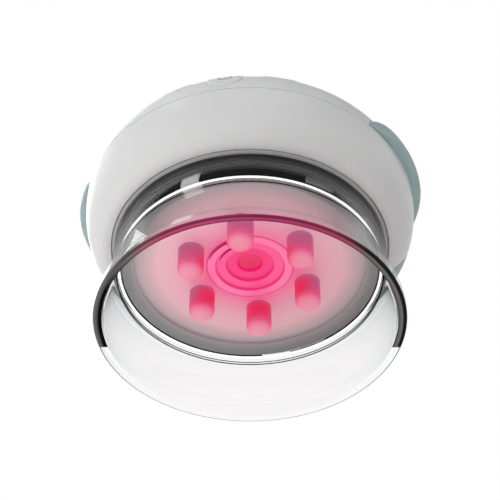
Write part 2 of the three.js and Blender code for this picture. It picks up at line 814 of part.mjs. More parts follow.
// The port steps inwards and up to a well, and its bored stem carries the air tube.
function suctionPort() {
  const innerStep = discHeight + 2 * portStepHeight;
  const wellTop = innerStep + wellDepth;
  return revolve([
    [portBoreRadius, wellTop],
    [wellRadius, wellTop],
    [wellRadius, innerStep],
    [portInnerRadius, innerStep],
    [portInnerRadius, discHeight + portStepHeight],
    [portMiddleRadius, discHeight + portStepHeight],
    [portMiddleRadius, discHeight],
    [portRadius, discHeight],
    [portRadius, portFlangeBottom],
    [portRadius + portFlangeWidth, portFlangeBottom],
    [portRadius + portFlangeWidth, portFlangeTop],
    [stemRadius, portFlangeTop],
    [stemRadius, plateTop + stemHeight],
    [barbRadius, plateTop + stemHeight],
    [barbRadius, barbTop],
    [portBoreRadius, barbTop],
  ], portSides);
}

function portFilter() {
  const top = discHeight + 2 * portStepHeight + wellDepth - clearance;
  const radius = wellRadius - clearance;
  const places = [[0, 0]];
  for (let i = 0; i < filterHoleCount; i += 1) {
    places.push(polar(radius * filterHoleShare, (360 * i) / filterHoleCount));
  }
  const holes = places.map(([x, y]) =>
    rod(filterHoleRadius, top - overrun, top + overrun, x, y, fixingSides));
  return rod(radius, top - filterThickness, top).subtract(union(holes));
}

function ledBoard() {
  return ring(stemRadius + 2 * clearance, ledBoardRadius, ledBoardBottom, ledBoardTop, boardSides);
}

// The lamps sit on one flexible strip bent into a ring.
function lampStrip() {
  const top = ledBoardBottom - clearance;
  const half = ledWidth / 3;
  const bottom = top - lampStripThickness;
  let strip = ring(ledCircleRadius - half, ledCircleRadius + half, bottom, top, boardSides);
  for (let i = 0; i < ledCount; i += 1) {
    const lamp = new THREE.BoxGeometry(ledWidth, ledWidth, ledHeight);
    lamp.translate(ledCircleRadius, 0, top - ledHeight / 2);
    strip = strip.add(solid(lamp.rotateZ((2 * Math.PI * i) / ledCount)));
  }
  return strip;
}

// The rim's rounded outer and inner edges, with the flat that the cup stands on between them.
function rimOutline() {
  const rimInner = rimRadius - rimLipWidth;
  const outer = [];
  const inner = [];
  for (let i = 0; i <= rimSteps; i += 1) {
    const angle = (Math.PI / 2) * (i / rimSteps);
    const across = rimRounding * (1 - Math.cos(angle));
    const down = rimRounding * (1 - Math.sin(angle));
    outer.push([rimRadius - across, down]);
    inner.unshift([rimInner + across, down]);
  }
  return [...outer, ...inner];
}

// The cup: a straight neck with bayonet lugs inside, a flared wall and a thick rounded rim.
function suctionCup() {
  const outer = [];
  const inner = [];
  for (let i = 0; i <= flareSteps; i += 1) {
    const share = i / flareSteps;
    const radius = cupNeckOuter + cupFlare * share ** flarePower;
    const height = cupDepth + (rimLipHeight - cupDepth) * share;
    const wall = cupNeckWall + (cupWall - cupNeckWall) * share;
    outer.push([radius, height]);
    inner.unshift([radius - wall, height]);
  }
  const shell = revolve([
    [cupNeckInner, cupTop],
    [cupNeckOuter, cupTop],
    ...outer,
    [rimRadius, rimLipHeight - rimRounding],
    ...rimOutline(),
    ...inner,
  ]);
  const root = cupNeckInner + cupNeckWall / 2;
  const half = lugDegrees / 2;
  const lugTop = lugBottom + lugHeight;
  const lugs = lugAngles.map((angle) =>
    ringSector(cupNeckInner - lugReach, root, lugBottom, lugTop, angle - half, angle + half, lugSteps));
  return shell.add(union(lugs));
}

// A push button: a cap that follows the shell, a flange that keeps it in, and a stem.
function pushButton({ x, rise }) {
  const capStart = buttonFlangeLevel - buttonFlangeThickness / 2;
  const shellForm = domeForm(-buttonProud, 0, outside).applyMatrix4(keypad.matrix.clone().invert());
  const cap = rod(buttonRadius, capStart, seamRadius, x, rise, buttonSides).intersect(solid(shellForm));
  const flange = rod(buttonFlangeRadius, buttonFlangeBottom, buttonFlangeLevel, x, rise, buttonSides);
  return cap.add(flange).add(rod(buttonStemRadius, buttonStemEnd, capStart, x, rise, fixingSides));
}

function switchBoard() {
  const half = switchBoardWidth / 2;
  return block(
    [-half, switchBoardStart, switchBoardLevel - switchBoardThickness],
    [half, switchBoardEnd, switchBoardLevel],
  );
}

// A small push switch, drawn on its own axis.
function tactSwitch() {
  const half = switchSize / 2;
  return block([-half, -half, switchBottom], [half, half, switchBottom + switchHeight])
    .add(rod(switchPlungerRadius, switchBottom, switchTop, 0, 0, fixingSides));
}

function batteryHolder() {
  const half = batteryLength / 2 + clearance;
  const side = holderWidth / 2;
  const tray = block(
    [-half - holderEnd, batteryBack - side, onPlate],
    [half + holderEnd, batteryBack + side, onPlate + holderHeight],
  );
  return tray.subtract(rodAlongX(batteryRadius + clearance, -half, half, batteryBack, cellAxisHeight));
}

function pumpMotor() {
  const terminalEnd = motorLeft - motorTerminalLength;
  return rodAlongX(motorRadius, motorLeft, motorRight, 0, 0)
    .add(rodAlongX(motorTerminalRadius, terminalEnd, motorLeft + clearance, 0, 0, smallSides));
}

function pumpHead() {
  const half = headWidth / 2;
  const inlet = new THREE.CylinderGeometry(nippleRadius, nippleRadius, 2 * nippleLength, smallSides);
  return block(
    [headLeft, -pumpFront - half, pumpAxisHeight - half],
    [headRight, -pumpFront + half, pumpAxisHeight + half],
  )
    .add(solid(inlet.translate(pumpInletX, pumpBack, pumpInletHeight)))
    .add(rodAlongX(nippleRadius, headRight - nippleLength, headRight + nippleLength, -valveFront,
      pumpAxisHeight, smallSides));
}

function pumpBracket() {
  const side = bracketWidth / 2;
  const right = headRight - holderEnd;
  const lips = [-pumpFront - side, -pumpFront + side - bracketThickness].map((y) => block(
    [right - bracketLength, y, onPlate],
    [motorRight - clearance, y + bracketThickness, onPlate + bracketLipHeight],
  ));
  const base = block(
    [right - bracketLength, -pumpFront - side, onPlate],
    [right, -pumpFront + side, onPlate + bracketThickness],
  );
  return base.add(union(lips));
}

function releaseValve() {
  return block(
    [valveLeft, -valveFront - valveDepth / 2, onPlate],
    [valveLeft + valveWidth, -valveFront + valveDepth / 2, onPlate + valveHeight],
  );
}

function mainBoard() {
  const half = chipWidth / 2;
  const chip = block(
    [chipOffset - half, -half, mainBoardHeight - chipHeight],
    [chipOffset + half, half, mainBoardHeight + chipHeight],
  );
  const top = mainBoardHeight + mainBoardThickness;
  return rod(mainBoardRadius, mainBoardHeight, top, 0, 0, boardSides).add(chip);
}

// The air tube rises from the port's barb and swings back round to the pump's inlet.
function airTube() {
  const start = barbTop + clearance;
  const end = pumpBack + nippleLength + clearance;
  const straight = 2 * tubeRadius;
  const path = new THREE.CatmullRomCurve3([
    new THREE.Vector3(0, 0, start),
    new THREE.Vector3(0, 0, start + straight),
    new THREE.Vector3(pumpInletX / 8, tubeSwing / 2, start + tubeRise * kneeShare),
    new THREE.Vector3(pumpInletX / 2, tubeSwing, pumpInletHeight),
    new THREE.Vector3(pumpInletX, end + straight, pumpInletHeight),
    new THREE.Vector3(pumpInletX, end, pumpInletHeight),
  ]);
  const section = new THREE.Shape();
  section.absarc(0, 0, tubeRadius, 0, 2 * Math.PI, false);
  return solid(new THREE.ExtrudeGeometry(section, {
    steps: tubeSteps,
    extrudePath: path,
    curveSegments: tubeSides / 2,
    bevelEnabled: false,
  }));
}

// A case screw on its own axis.
function caseScrew() {
  const headTop = plateBottom - clearance;
  return rod(screwHeadRadius, headTop - screwHeadHeight, headTop)
    .add(rod(screwRadius, headTop - screwHeadHeight / 2, headTop + screwLength, 0, 0, fixingSides));
}

addPiece('upper_shell', upperShell(), whitePlastic);
addPiece('lower_shell', lowerShell(), whitePlastic);
addPiece('seat_ring', seatRing(), whitePlastic);
addPiece('grip_right', grip(), tealRubber, { turn: rightTurn });
addPiece('grip_left', grip(), tealRubber, { turn: leftTurn });
addPiece('rear_pad', rearPad(), tealRubber);
addPiece('port_cover', portCover(), tealRubber);
addPiece('port_board', portBoard(), boardGreen);
addPiece('charging_socket', chargingSocket(), steel);

addPiece('light_housing', lightHousing(), darkGloss);
addPiece('cup_seal', sealRing(), blackRubber);
addPiece('bezel_ring', bezelRing(), greyPlastic);
addPiece('light_disc', lightDisc(), frostedPlate);
postAngles.forEach((degrees, i) => {
  addPiece(`post_${i + 1}`, post(), rosePlastic, { place: [...polar(postCircleRadius, degrees), 0] });
});
addPiece('suction_port', suctionPort(), rosePlastic);
addPiece('port_filter', portFilter(), siliconeTube);
addPiece('led_board', ledBoard(), boardGreen);
addPiece('lamp_strip', lampStrip(), lampWhite);
addPiece('suction_cup', suctionCup(), clearPlastic);

addPiece('switch_board', switchBoard(), boardGreen, { group: keypad });
for (const key of keys) {
  const place = [key.x, key.rise, 0];
  addPiece(`button_${key.name}`, pushButton(key), whitePlastic, { group: keypad });
  addPiece(`switch_${key.name}`, tactSwitch(), blackRubber, { group: keypad, place });
}

addPiece('battery_holder', batteryHolder(), nylon);
addPiece('battery_cell', rodAlongX(batteryRadius, -batteryLength / 2, batteryLength / 2, 0, 0), cellWrap,
  { place: [0, batteryBack, cellAxisHeight] });
addPiece('pump_bracket', pumpBracket(), steel);
addPiece('pump_motor', pumpMotor(), steel, { place: [0, -pumpFront, pumpAxisHeight] });
addPiece('pump_head', pumpHead(), nylon);
addPiece('release_valve', releaseValve(), darkGloss);
addPiece('main_board', mainBoard(), boardGreen);
addPiece('air_tube', airTube(), siliconeTube);
bossDegrees.forEach((degrees, i) => {
  addPiece(`case_screw_${i + 1}`, caseScrew(), steel, { place: [...polar(bossCircleRadius, degrees), 0] });
});

export default massager;
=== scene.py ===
"""Looks of the palm-held vacuum massager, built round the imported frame.

Sizes in this file are millimetres unless a name says otherwise, and turn to metres where a mesh is made.
The cup's rim stands at height 0, the buttons face -Y, and the side grips are at +X and -X.
"""
import math

import bmesh
import bpy
from mathutils import Matrix, Vector


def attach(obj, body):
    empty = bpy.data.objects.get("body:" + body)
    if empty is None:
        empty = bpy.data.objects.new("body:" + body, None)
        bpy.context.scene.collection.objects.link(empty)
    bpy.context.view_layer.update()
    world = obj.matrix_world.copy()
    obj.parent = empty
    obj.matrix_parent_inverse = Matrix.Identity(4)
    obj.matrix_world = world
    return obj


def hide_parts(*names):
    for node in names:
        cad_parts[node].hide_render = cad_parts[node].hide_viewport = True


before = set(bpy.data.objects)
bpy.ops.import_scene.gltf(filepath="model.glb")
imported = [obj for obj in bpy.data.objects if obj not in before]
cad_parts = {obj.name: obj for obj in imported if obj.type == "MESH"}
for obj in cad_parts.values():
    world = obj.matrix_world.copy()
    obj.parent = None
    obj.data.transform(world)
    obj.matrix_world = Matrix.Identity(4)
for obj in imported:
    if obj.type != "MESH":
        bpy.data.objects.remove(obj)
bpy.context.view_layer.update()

MM = 0.001
AROUND = 224            # columns round the body and the neck
AROUND_CUP = 256        # columns round the clear cup
AROUND_PORT = 96        # columns round the port
AROUND_SMALL = 56       # columns round a post or a button
MOULD_ROUND = 0.25      # rounding that a mould leaves on an outside edge
POLYCARBONATE_INDEX = 1.585
OVERRUN = 2.0           # how far a cutting tool reaches past the piece

# The photograph's camera: its place in metres, the way it looks, its sensor and lens
CAMERA_PLACE = (0.04114, -0.27529, -0.24110)
CAMERA_LOOK = (-0.10525, 0.70421, 0.70215)
SENSOR_WIDTH, FOCAL_LENGTH = 36.0, 86.4
LAMPS_AIM = Vector((0, 0, 0.04))

# Clear cup
CUP_NECK_INNER, CUP_NECK_OUTER = 42.6, 43.9
CUP_TOP, CUP_DEPTH = 30.6, 20.9
CUP_FLARE, CUP_WALL, FLARE_POWER = 2.8, 1.6, 1.7
RIM_RADIUS, RIM_LIP_WIDTH, RIM_LIP_HEIGHT, RIM_ROUND = 48.0, 2.7, 3.2, 0.35
LEDGE_TOP, LEDGE_BOTTOM, LEDGE_REACH = 20.9, 19.9, 0.55
LUG_REACH, LUG_BOTTOM, LUG_HEIGHT, LUG_HALF_DEGREES = 1.1, 23.6, 2.2, 6.0
LUG_ANGLES = [-52, 68, 188]
# The rim edge's painted glow stops at a line across the rim, square to the camera's level look, this far
# past the middle.
EDGE_BACK_WAY, EDGE_CLEAR_FROM, EDGE_CLEAR_TO = (-0.149, 0.989, 0.0), 9.2, 9.5
CLEAR_FINISH, EDGE_FINISH, STEP_FINISH, LUG_FINISH = range(4)       # the cup's finishes, in this order
TWIST_DEGREES = 18

# Dark neck, seal and seat ring
NECK_RADIUS, NECK_INNER, NECK_STEP = 42.2, 40.2, 1.0
NECK_BOTTOM, NECK_SHOULDER, NECK_PLATE, NECK_TOP = 22.4, 32.6, 35.0, 36.5
BEAD_RADIUS, BEAD_HEIGHT, BEAD_THICKNESS, BEAD_SEAT = 41.78, 22.6, 0.38, 0.3
SEAL_GROOVE_BOTTOM, SEAL_GROOVE_TOP, SEAL_GROOVE_DEPTH = 28.0, 29.6, 1.1
SEAL_HALF_WIDTH, SEAL_HALF_HEIGHT = 0.45, 0.5
NECK_EDGE, SLOT_GAP, SLOT_DEPTH_GAP, SLOT_SIDE_DEGREES = 0.16, 0.3, 0.5, 0.8
STEM_HOLE = 4.9
SEAT_INNER, SEAT_OUTER, SEAT_BOTTOM, SEAT_TOP = 42.5, 44.6, 31.0, 32.6

# Body shells
OPENING_RADIUS, BODY_BOTTOM, LIP_BOTTOM, LIP_TOP, LIP_INNER = 44.9, 31.2, 32.9, 34.4, 41.5
SEAM_RADIUS, SEAM_HEIGHT, SEAM_GAP = 54.4, 48.9, 0.3
BOWL_POWER, LOWER_WALL, UPPER_WALL = 2.2, 3.2, 2.2
SHOULDER_RADIUS, SHOULDER_DEGREES = 16.0, 62

# Lit plate, bezel, posts and port
PLATE_BOTTOM, PLATE_TOP, LIT_RADIUS, PLATE_HOLE = 25.6, 27.8, 39.9, 14.2
BEZEL_INNER, BEZEL_INNER_HEIGHT, BEZEL_OUTER_HEIGHT = 37.3, 24.5, 23.3
BEZEL_LIP, BEZEL_LIP_HEIGHT, BEZEL_LIP_THICKNESS, BEZEL_GAP = 40.9, 22.85, 0.5, 0.15
POST_RADIUS, POST_CIRCLE, POST_TIP, POST_DOME, POST_POWER = 4.15, 20.0, 15.4, 3.1, 2.6
POST_ANGLES = [-90 + 60 * i for i in range(6)]
POST_FLANGE, POST_FLANGE_THICKNESS, POST_FLANGE_GAP, POST_HOLE_GAP = 5.4, 1.0, 0.3, 0.1
PORT_RADII, PORT_STEP, WELL_RADIUS, WELL_DEPTH = [14.1, 11.0, 7.6], 0.9, 4.0, 1.6
PORT_FLANGE, PORT_FLANGE_BOTTOM, PORT_FLANGE_TOP = 16.6, 29.4, 30.3
PORT_STEM, PORT_STEM_TOP, NIPPLE_RADIUS, NIPPLE_TOP, AIR_BORE = 4.6, 38.7, 2.6, 41.7, 1.5
FILTER_RADIUS, FILTER_THICKNESS, FILTER_GAP = 3.85, 0.8, 0.15
TAB_PROUD, TAB_SUNK, TAB_EDGE = 1.2, 0.1, 0.12

# Push buttons
PRESS_DEGREES = 38
BUTTON_RADIUS, BUTTON_HOLE, BUTTON_PROUD, BUTTON_ROUND = 5.7, 5.95, 0.25, 0.4
BUTTON_FLANGE, FLANGE_LEVEL, FLANGE_THICKNESS, STEM_RADIUS, STEM_END = 6.8, 7.2, 1.0, 2.0, 5.2
BUTTONS = {"light": (-16.1, 3.9), "power": (0.0, -2.5), "suction": (16.1, 3.9)}
INK_WIDTH, INK_DEPTH, INK_PROUD = 0.42, 0.05, 0.04

# Soft grips, rear pad and flap
GRIP_HALF_WIDTH, GRIP_HEIGHT, GRIP_SET_OUT, GRIP_RADIUS, GRIP_RISE = 24.5, 9.5, 17.8, 39.7, 19.0
GRIP_TURNS = {"grip_right": -11.5, "grip_left": 177.0}
GRIP_BOTTOM, GRIP_SEAT, GRIP_BACK, GRIP_GAP = 49.05, 1.0, 0.7, 0.2
PAD_START, PAD_BOTTOM, PAD_TOP, PAD_THICKNESS, PAD_CORNER = 15.4, 32.0, 48.75, 1.4, 2.0
FLAP_HALF_WIDTH, FLAP_MIDDLE, FLAP_HALF_HEIGHT, FLAP_THICKNESS, FLAP_PROUD = 8.0, 44.0, 3.0, 2.0, 0.3
FLAP_GAP, FLAP_CORNER = 0.25, 1.0
NICK_DEPTH, NICK_LENGTH, NICK_HALF_HEIGHT = 0.9, 1.6, 1.9


# Camera and lamps

def place_camera():
    """The photograph looks up at the lit plate from in front, a little to the right of the middle."""
    lens = bpy.data.cameras.new("photo_view")
    lens.sensor_width = SENSOR_WIDTH
    lens.lens = FOCAL_LENGTH
    lens.clip_start = 0.01
    camera = bpy.data.objects.new("photo_view", lens)
    camera.location = CAMERA_PLACE
    camera.rotation_euler = Vector(CAMERA_LOOK).to_track_quat("-Z", "Y").to_euler()
    bpy.context.scene.collection.objects.link(camera)
    bpy.context.scene.camera = camera


def hang_lamp(name, direction, distance, size, brightness, mirrored=True, lights=True):
    """A soft square lamp that gives a facing white surface the named linear brightness.

    One that isn't mirrored leaves no bright square in the glossy neck and the clear cup, and one that
    doesn't light is only seen mirrored in them.
    """
    lamp = bpy.data.lights.new(name, "AREA")
    lamp.shape = "SQUARE"
    lamp.size = size
    lamp.energy = brightness * (math.pi * distance) ** 2
    holder = bpy.data.objects.new(name, lamp)
    towards = Vector(direction).normalized()
    holder.location = LAMPS_AIM + towards * distance
    holder.rotation_euler = (-towards).to_track_quat("-Z", "Y").to_euler()
    holder.visible_glossy = mirrored
    holder.visible_diffuse = lights
    bpy.context.scene.collection.objects.link(holder)


# Colours and nodes

def linear(code):
    """An sRGB hex colour as linear RGBA."""
    shares = [int(code[i:i + 2], 16) / 255 for i in (1, 3, 5)]
    return [s / 12.92 if s <= 0.04045 else ((s + 0.055) / 1.055) ** 2.4 for s in shares] + [1.0]


def add_node(tree, kind, settings=None, links=None):
    """Adds one shader node, sets its sockets and choices by name, and links sockets to outputs."""
    node = tree.nodes.new("ShaderNode" + kind)
    for name, value in (settings or {}).items():
        if isinstance(name, str) and name not in node.inputs:
            setattr(node, name, value)
        else:
            node.inputs[name].default_value = value
    for name, output in (links or {}).items():
        tree.links.new(output, node.inputs[name])
    return node


def fill_ramp(ramp, stops):
    """Colours along a ramp, from (place, hex colour) pairs."""
    elements = ramp.color_ramp.elements
    while len(elements) < len(stops):
        elements.new(1.0)
    for element, (place, code) in zip(elements, stops):
        element.position = place
        element.color = linear(code)


def start_finish(name):
    """An empty material with its Principled shader and the piece's own coordinates."""
    material = bpy.data.materials.new(name)
    material.use_nodes = True
    tree = material.node_tree
    tree.nodes.clear()
    shader = add_node(tree, "BsdfPrincipled")
    add_node(tree, "OutputMaterial", links={"Surface": shader.outputs["BSDF"]})
    place = add_node(tree, "TexCoord").outputs["Object"]
    return material, tree, shader, place


def sheet_output(tree):
    """The output node of a material."""
    return next(node for node in tree.nodes if node.bl_idname == "ShaderNodeOutputMaterial")


def axis_distance(tree, place):
    """How far a point is from the object's middle axis, in metres."""
    flat = add_node(tree, "VectorMath", {"operation": "MULTIPLY", 1: (1, 1, 0)}, {0: place})
    return add_node(tree, "VectorMath", {"operation": "LENGTH"}, {0: flat.outputs[0]}).outputs["Value"]


def moulded(name, colour, roughness, grain, depth, cloud=22.0, shade=0.03, spread=0.05, extra=None):
    """A moulded finish: texture of the tool's surface, faint cloudiness and uneven gloss.

    grain is the pitch of the tool's texture and depth its height; cloud is the size of the cloudy patches.
    shade is how much the colour varies, and spread how much the roughness does.
    """
    material, tree, shader, place = start_finish(name)
    base = linear(colour)
    clouds = add_node(tree, "TexNoise", {"Scale": 1 / (cloud * MM), "Detail": 3.0}, {"Vector": place})
    tint = add_node(tree, "ValToRGB", links={"Fac": clouds.outputs["Fac"]})
    tint.color_ramp.elements[0].position = 0.3
    tint.color_ramp.elements[1].position = 0.7
    tint.color_ramp.elements[0].color = [c * (1 - shade) for c in base[:3]] + [1.0]
    tint.color_ramp.elements[1].color = [min(c * (1 + shade / 2), 1.0) for c in base[:3]] + [1.0]
    tree.links.new(tint.outputs["Color"], shader.inputs["Base Color"])
    gloss = add_node(tree, "MapRange", {"To Min": roughness - spread, "To Max": roughness + spread},
                     {"Value": clouds.outputs["Fac"]})
    tree.links.new(gloss.outputs["Result"], shader.inputs["Roughness"])
    texture = add_node(tree, "TexNoise", {"Scale": 1 / (grain * MM), "Detail": 2.0}, {"Vector": place})
    relief = add_node(tree, "Bump", {"Strength": 1.0, "Distance": depth * MM},
                      {"Height": texture.outputs["Fac"]})
    tree.links.new(relief.outputs["Normal"], shader.inputs["Normal"])
    for socket, value in (extra or {}).items():
        shader.inputs[socket].default_value = value
    return material


# Finishes

# ABS from a finely spark-eroded mould: clean white with a soft sheen. The real grain is about
# 0.15 mm and can't show at this size, so it is drawn 0.7 mm wide.
moulded_white_abs = moulded("moulded_white_abs", "#ECEDED", 0.34, 0.7, 0.004, shade=0.012)

# The same ABS in a light grey, part of which is painted shade: it darkens the ring in the gap between body
# and neck.
light_grey_abs_painted_shade = moulded("light_grey_abs_painted_shade", "#C2C4C4", 0.34, 0.7, 0.004, shade=0.012)

# Silicone rubber from a blasted mould: matt, with a pale bloom at glancing angles.
teal_silicone = moulded("teal_silicone", "#ACC4C6", 0.58, 0.5, 0.012, shade=0.04,
                        extra={"Sheen Weight": 0.25, "Sheen Roughness": 0.4, "Specular IOR Level": 0.4})

# Polycarbonate from a polished mould: near-black, and it mirrors its surroundings in long clear bars.
gloss_black_polycarbonate = moulded("gloss_black_polycarbonate", "#1B1B1C", 0.09, 9.0, 0.006,
                                    spread=0.03, extra={"IOR": POLYCARBONATE_INDEX})

# ABS with a satin texture: a mid grey that gathers a broad soft highlight. Its grey leans to green to offset
# the plate's pink light on it, and the plate's glow is painted on its inner edge.
satin_grey_abs_painted_glow = moulded("satin_grey_abs_painted_glow", "#8C9896", 0.3, 0.5, 0.004, shade=0.03)

# Clear polycarbonate bead with a white glow painted on it: a painted highlight that draws a bright white
# line.
bead_painted_highlight = moulded("bead_painted_highlight", "#F4F4F4", 0.5, 4.0, 0.002, shade=0.01, spread=0.03,
                        extra={"Emission Color": linear("#FFFFFF"), "Emission Strength": 0.85})

# Milky, half-clear polycarbonate on the cup's lugs: a painted highlight, so that they show as light bars on
# the dark neck.
milky_polycarbonate_painted_highlight = moulded("milky_polycarbonate_painted_highlight", "#C8CACA", 0.5, 0.6, 0.004, extra={"Alpha": 0.45})

# Nitrile rubber O-ring: almost black and dull.
nitrile_rubber = moulded("nitrile_rubber", "#1A1A1B", 0.62, 0.4, 0.01, shade=0.06)

# Pad-printed ink: flat grey, a little matter than the plastic under it.
printed_grey_ink = moulded("printed_grey_ink", "#8B8D90", 0.5, 0.3, 0.002)

# Glass-fibre board under solder mask: dark green, with the weave faintly showing.
solder_masked_board = moulded("solder_masked_board", "#1F5B3A", 0.42, 0.8, 0.01, shade=0.12)

# Epoxy lamp lens: milky, smooth and warm.
epoxy_lamp_lens = moulded("epoxy_lamp_lens", "#F0DDD4", 0.2, 0.6, 0.003)

# Zinc-plated mild steel, pressed: grey metal with cloudy brightness.
zinc_plated_steel = moulded("zinc_plated_steel", "#B4B6B9", 0.3, 0.9, 0.004, cloud=6.0, shade=0.08,
                            extra={"Metallic": 1.0})

# PVC shrink wrap round the cell: smooth, glossy blue.
pvc_shrink_wrap = moulded("pvc_shrink_wrap", "#3566A8", 0.3, 3.0, 0.02, shade=0.06)

# Natural nylon: slightly yellow, waxy.
natural_nylon = moulded("natural_nylon", "#D8D5CB", 0.48, 0.6, 0.006)

# Black polyamide of the small switches and the valve: matt and dark.
black_polyamide = moulded("black_polyamide", "#242426", 0.45, 0.4, 0.006, shade=0.06)

# Clear silicone tube: cloudy, softly shining.
cloudy_silicone = moulded("cloudy_silicone", "#DADCDA", 0.35, 0.8, 0.006,
                          extra={"Transmission Weight": 0.3, "IOR": 1.41})


def clear_wall(tree, place):
    """Clear polycarbonate's shader: see-through, glossier and darker where it is seen along its surface."""
    facing = add_node(tree, "LayerWeight", {"Blend": 0.5}).outputs["Facing"]
    depth = add_node(tree, "ValToRGB", links={"Fac": facing})
    fill_ramp(depth, [(0.0, "#FFFFFF"), (0.74, "#F8FAFA"), (0.9, "#C4C7C7"), (1.0, "#4A4C4D")])
    through = add_node(tree, "BsdfTransparent", links={"Color": depth.outputs["Color"]})
    patches = add_node(tree, "TexNoise", {"Scale": 1 / (14 * MM), "Detail": 1.0}, {"Vector": place})
    gloss = add_node(tree, "MapRange", {"To Min": 0.0, "To Max": 0.05}, {"Value": patches.outputs["Fac"]})
    mirror = add_node(tree, "BsdfGlossy", links={"Roughness": gloss.outputs["Result"]})
    # Both faces of the wall mirror alike, so the inner one takes the inverse of the plastic's index.
    back = add_node(tree, "NewGeometry").outputs["Backfacing"]
    index = add_node(tree, "MapRange", {"To Min": POLYCARBONATE_INDEX, "To Max": 1 / POLYCARBONATE_INDEX},
                     {"Value": back})
    share = add_node(tree, "Fresnel", links={"IOR": index.outputs["Result"]})
    return add_node(tree, "MixShader",
                    links={0: share.outputs[0], 1: through.outputs[0], 2: mirror.outputs[0]})


def clear_polycarbonate():
    """Polycarbonate from a mirror-polished mould: water-clear, with dark thin edges and bright reflections.

    Its gloss is faintly uneven, in patches about 14 mm wide.
    """
    material, tree, shader, place = start_finish("clear_polycarbonate")
    tree.nodes.remove(shader)
    tree.links.new(clear_wall(tree, place).outputs[0], sheet_output(tree).inputs["Surface"])
    return material


def rim_edge_painted_glow():
    """The rim's thick lower edge, with painted light: the plate's red light is painted on it as a glow, and
    painted dark in places.

    The front and sides carry a painted reflection of the dark studio in fine dark lines, and the back is as
    clear as the wall.
    """
    material, tree, shader, place = start_finish("rim_edge_painted_glow")
    across = add_node(tree, "SeparateXYZ", links={"Vector": place}).outputs["X"]
    along = add_node(tree, "MapRange", {"From Min": -RIM_RADIUS * MM, "From Max": RIM_RADIUS * MM},
                     {"Value": across})
    hue = add_node(tree, "ValToRGB", links={"Fac": along.outputs["Result"]})
    stops = [(-47, "#707070"), (-36, "#787878"), (-30, "#7E7072"), (-24, "#AC6678"), (-18, "#BC4C6C"),
             (-4, "#C04C7A"), (10, "#B83E6E"), (26, "#B4446A"), (33, "#A84C64"), (38, "#74686A"),
             (47, "#6E6E6E")]
    fill_ramp(hue, [((x + RIM_RADIUS) / (2 * RIM_RADIUS), code) for x, code in stops])
    inner = RIM_RADIUS - RIM_LIP_WIDTH
    width = add_node(tree, "MapRange", {"From Min": inner * MM, "From Max": RIM_RADIUS * MM},
                     {"Value": axis_distance(tree, place)})

    def across_width(stops):
        ramp = add_node(tree, "ValToRGB", links={"Fac": width.outputs["Result"]})
        fill_ramp(ramp, stops)
        return ramp.outputs["Color"]

    # Painted light and shade: fine light and dark lines run along the edge. They differ at the left, in the
    # middle and at the right.
    lines = across_width([(0.0, "#404040"), (0.12, "#101010"), (0.38, "#101010"), (0.48, "#A0A0A0"),
                          (0.7, "#D8D8D8"), (1.0, "#F8F8F8")])
    middle = across_width([(0.0, "#606060"), (0.1, "#909090"), (0.26, "#E0E0E0"), (0.5, "#F4F4F4"),
                           (0.66, "#989898"), (0.8, "#989898"), (0.9, "#BCBCBC"), (1.0, "#F0F0F0")])
    right = across_width([(0.0, "#808080"), (0.15, "#C0C0C0"), (0.3, "#F4F4F4"), (0.48, "#F4F4F4"),
                          (0.6, "#505050"), (0.82, "#404040"), (1.0, "#808080")])
    for start, end, following in ((-40, -30, middle), (30, 38, right)):
        part = add_node(tree, "MapRange", {"From Min": start * MM, "From Max": end * MM}, {"Value": across})
        lines = add_node(tree, "Mix", {"data_type": "RGBA"},
                         {0: part.outputs["Result"], 6: lines, 7: following}).outputs[2]
    glow = add_node(tree, "Mix", {"data_type": "RGBA", "blend_type": "MULTIPLY", "Factor": 1.0},
                    {6: hue.outputs["Color"], 7: lines})
    tree.links.new(glow.outputs[2], shader.inputs["Emission Color"])
    shader.inputs["Emission Strength"].default_value = 1.0
    shader.inputs["Base Color"].default_value = linear("#0C0C0C")
    shader.inputs["Roughness"].default_value = 0.3
    shader.inputs["Specular IOR Level"].default_value = 0.0
    # The painted glow stays on the side nearer the camera; past a line across the rim the edge is clear,
    # with a thin painted grey border.
    backwards = add_node(tree, "VectorMath", {"operation": "DOT_PRODUCT", 1: EDGE_BACK_WAY}, {0: place})
    cleared = add_node(tree, "MapRange", {"From Min": EDGE_CLEAR_FROM * MM, "From Max": EDGE_CLEAR_TO * MM},
                       {"Value": backwards.outputs["Value"]})
    edge = across_width([(0.82, "#FFFFFF"), (0.86, "#6C6C6C"), (1.0, "#6C6C6C")])
    thin = add_node(tree, "BsdfTransparent", links={"Color": edge})
    both = add_node(tree, "MixShader",
                    links={0: cleared.outputs["Result"], 1: shader.outputs[0], 2: thin.outputs[0]})
    tree.links.new(both.outputs[0], sheet_output(tree).inputs["Surface"])
    return material


def steps_painted_shade():
    """The same polycarbonate at sharp steps, as moulded: the cup's upper end and the small ledge inside it.

    They are painted a see-through dark grey, painted shade that draws them as thin dark lines.
    """
    material, tree, shader, place = start_finish("steps_painted_shade")
    tree.nodes.remove(shader)
    patches = add_node(tree, "TexNoise", {"Scale": 1 / (14 * MM), "Detail": 1.0}, {"Vector": place})
    shade = add_node(tree, "ValToRGB", links={"Fac": patches.outputs["Fac"]})
    fill_ramp(shade, [(0.3, "#4C4C4C"), (0.7, "#606060")])
    through = add_node(tree, "BsdfTransparent", links={"Color": shade.outputs["Color"]})
    tree.links.new(through.outputs[0], sheet_output(tree).inputs["Surface"])
    return material


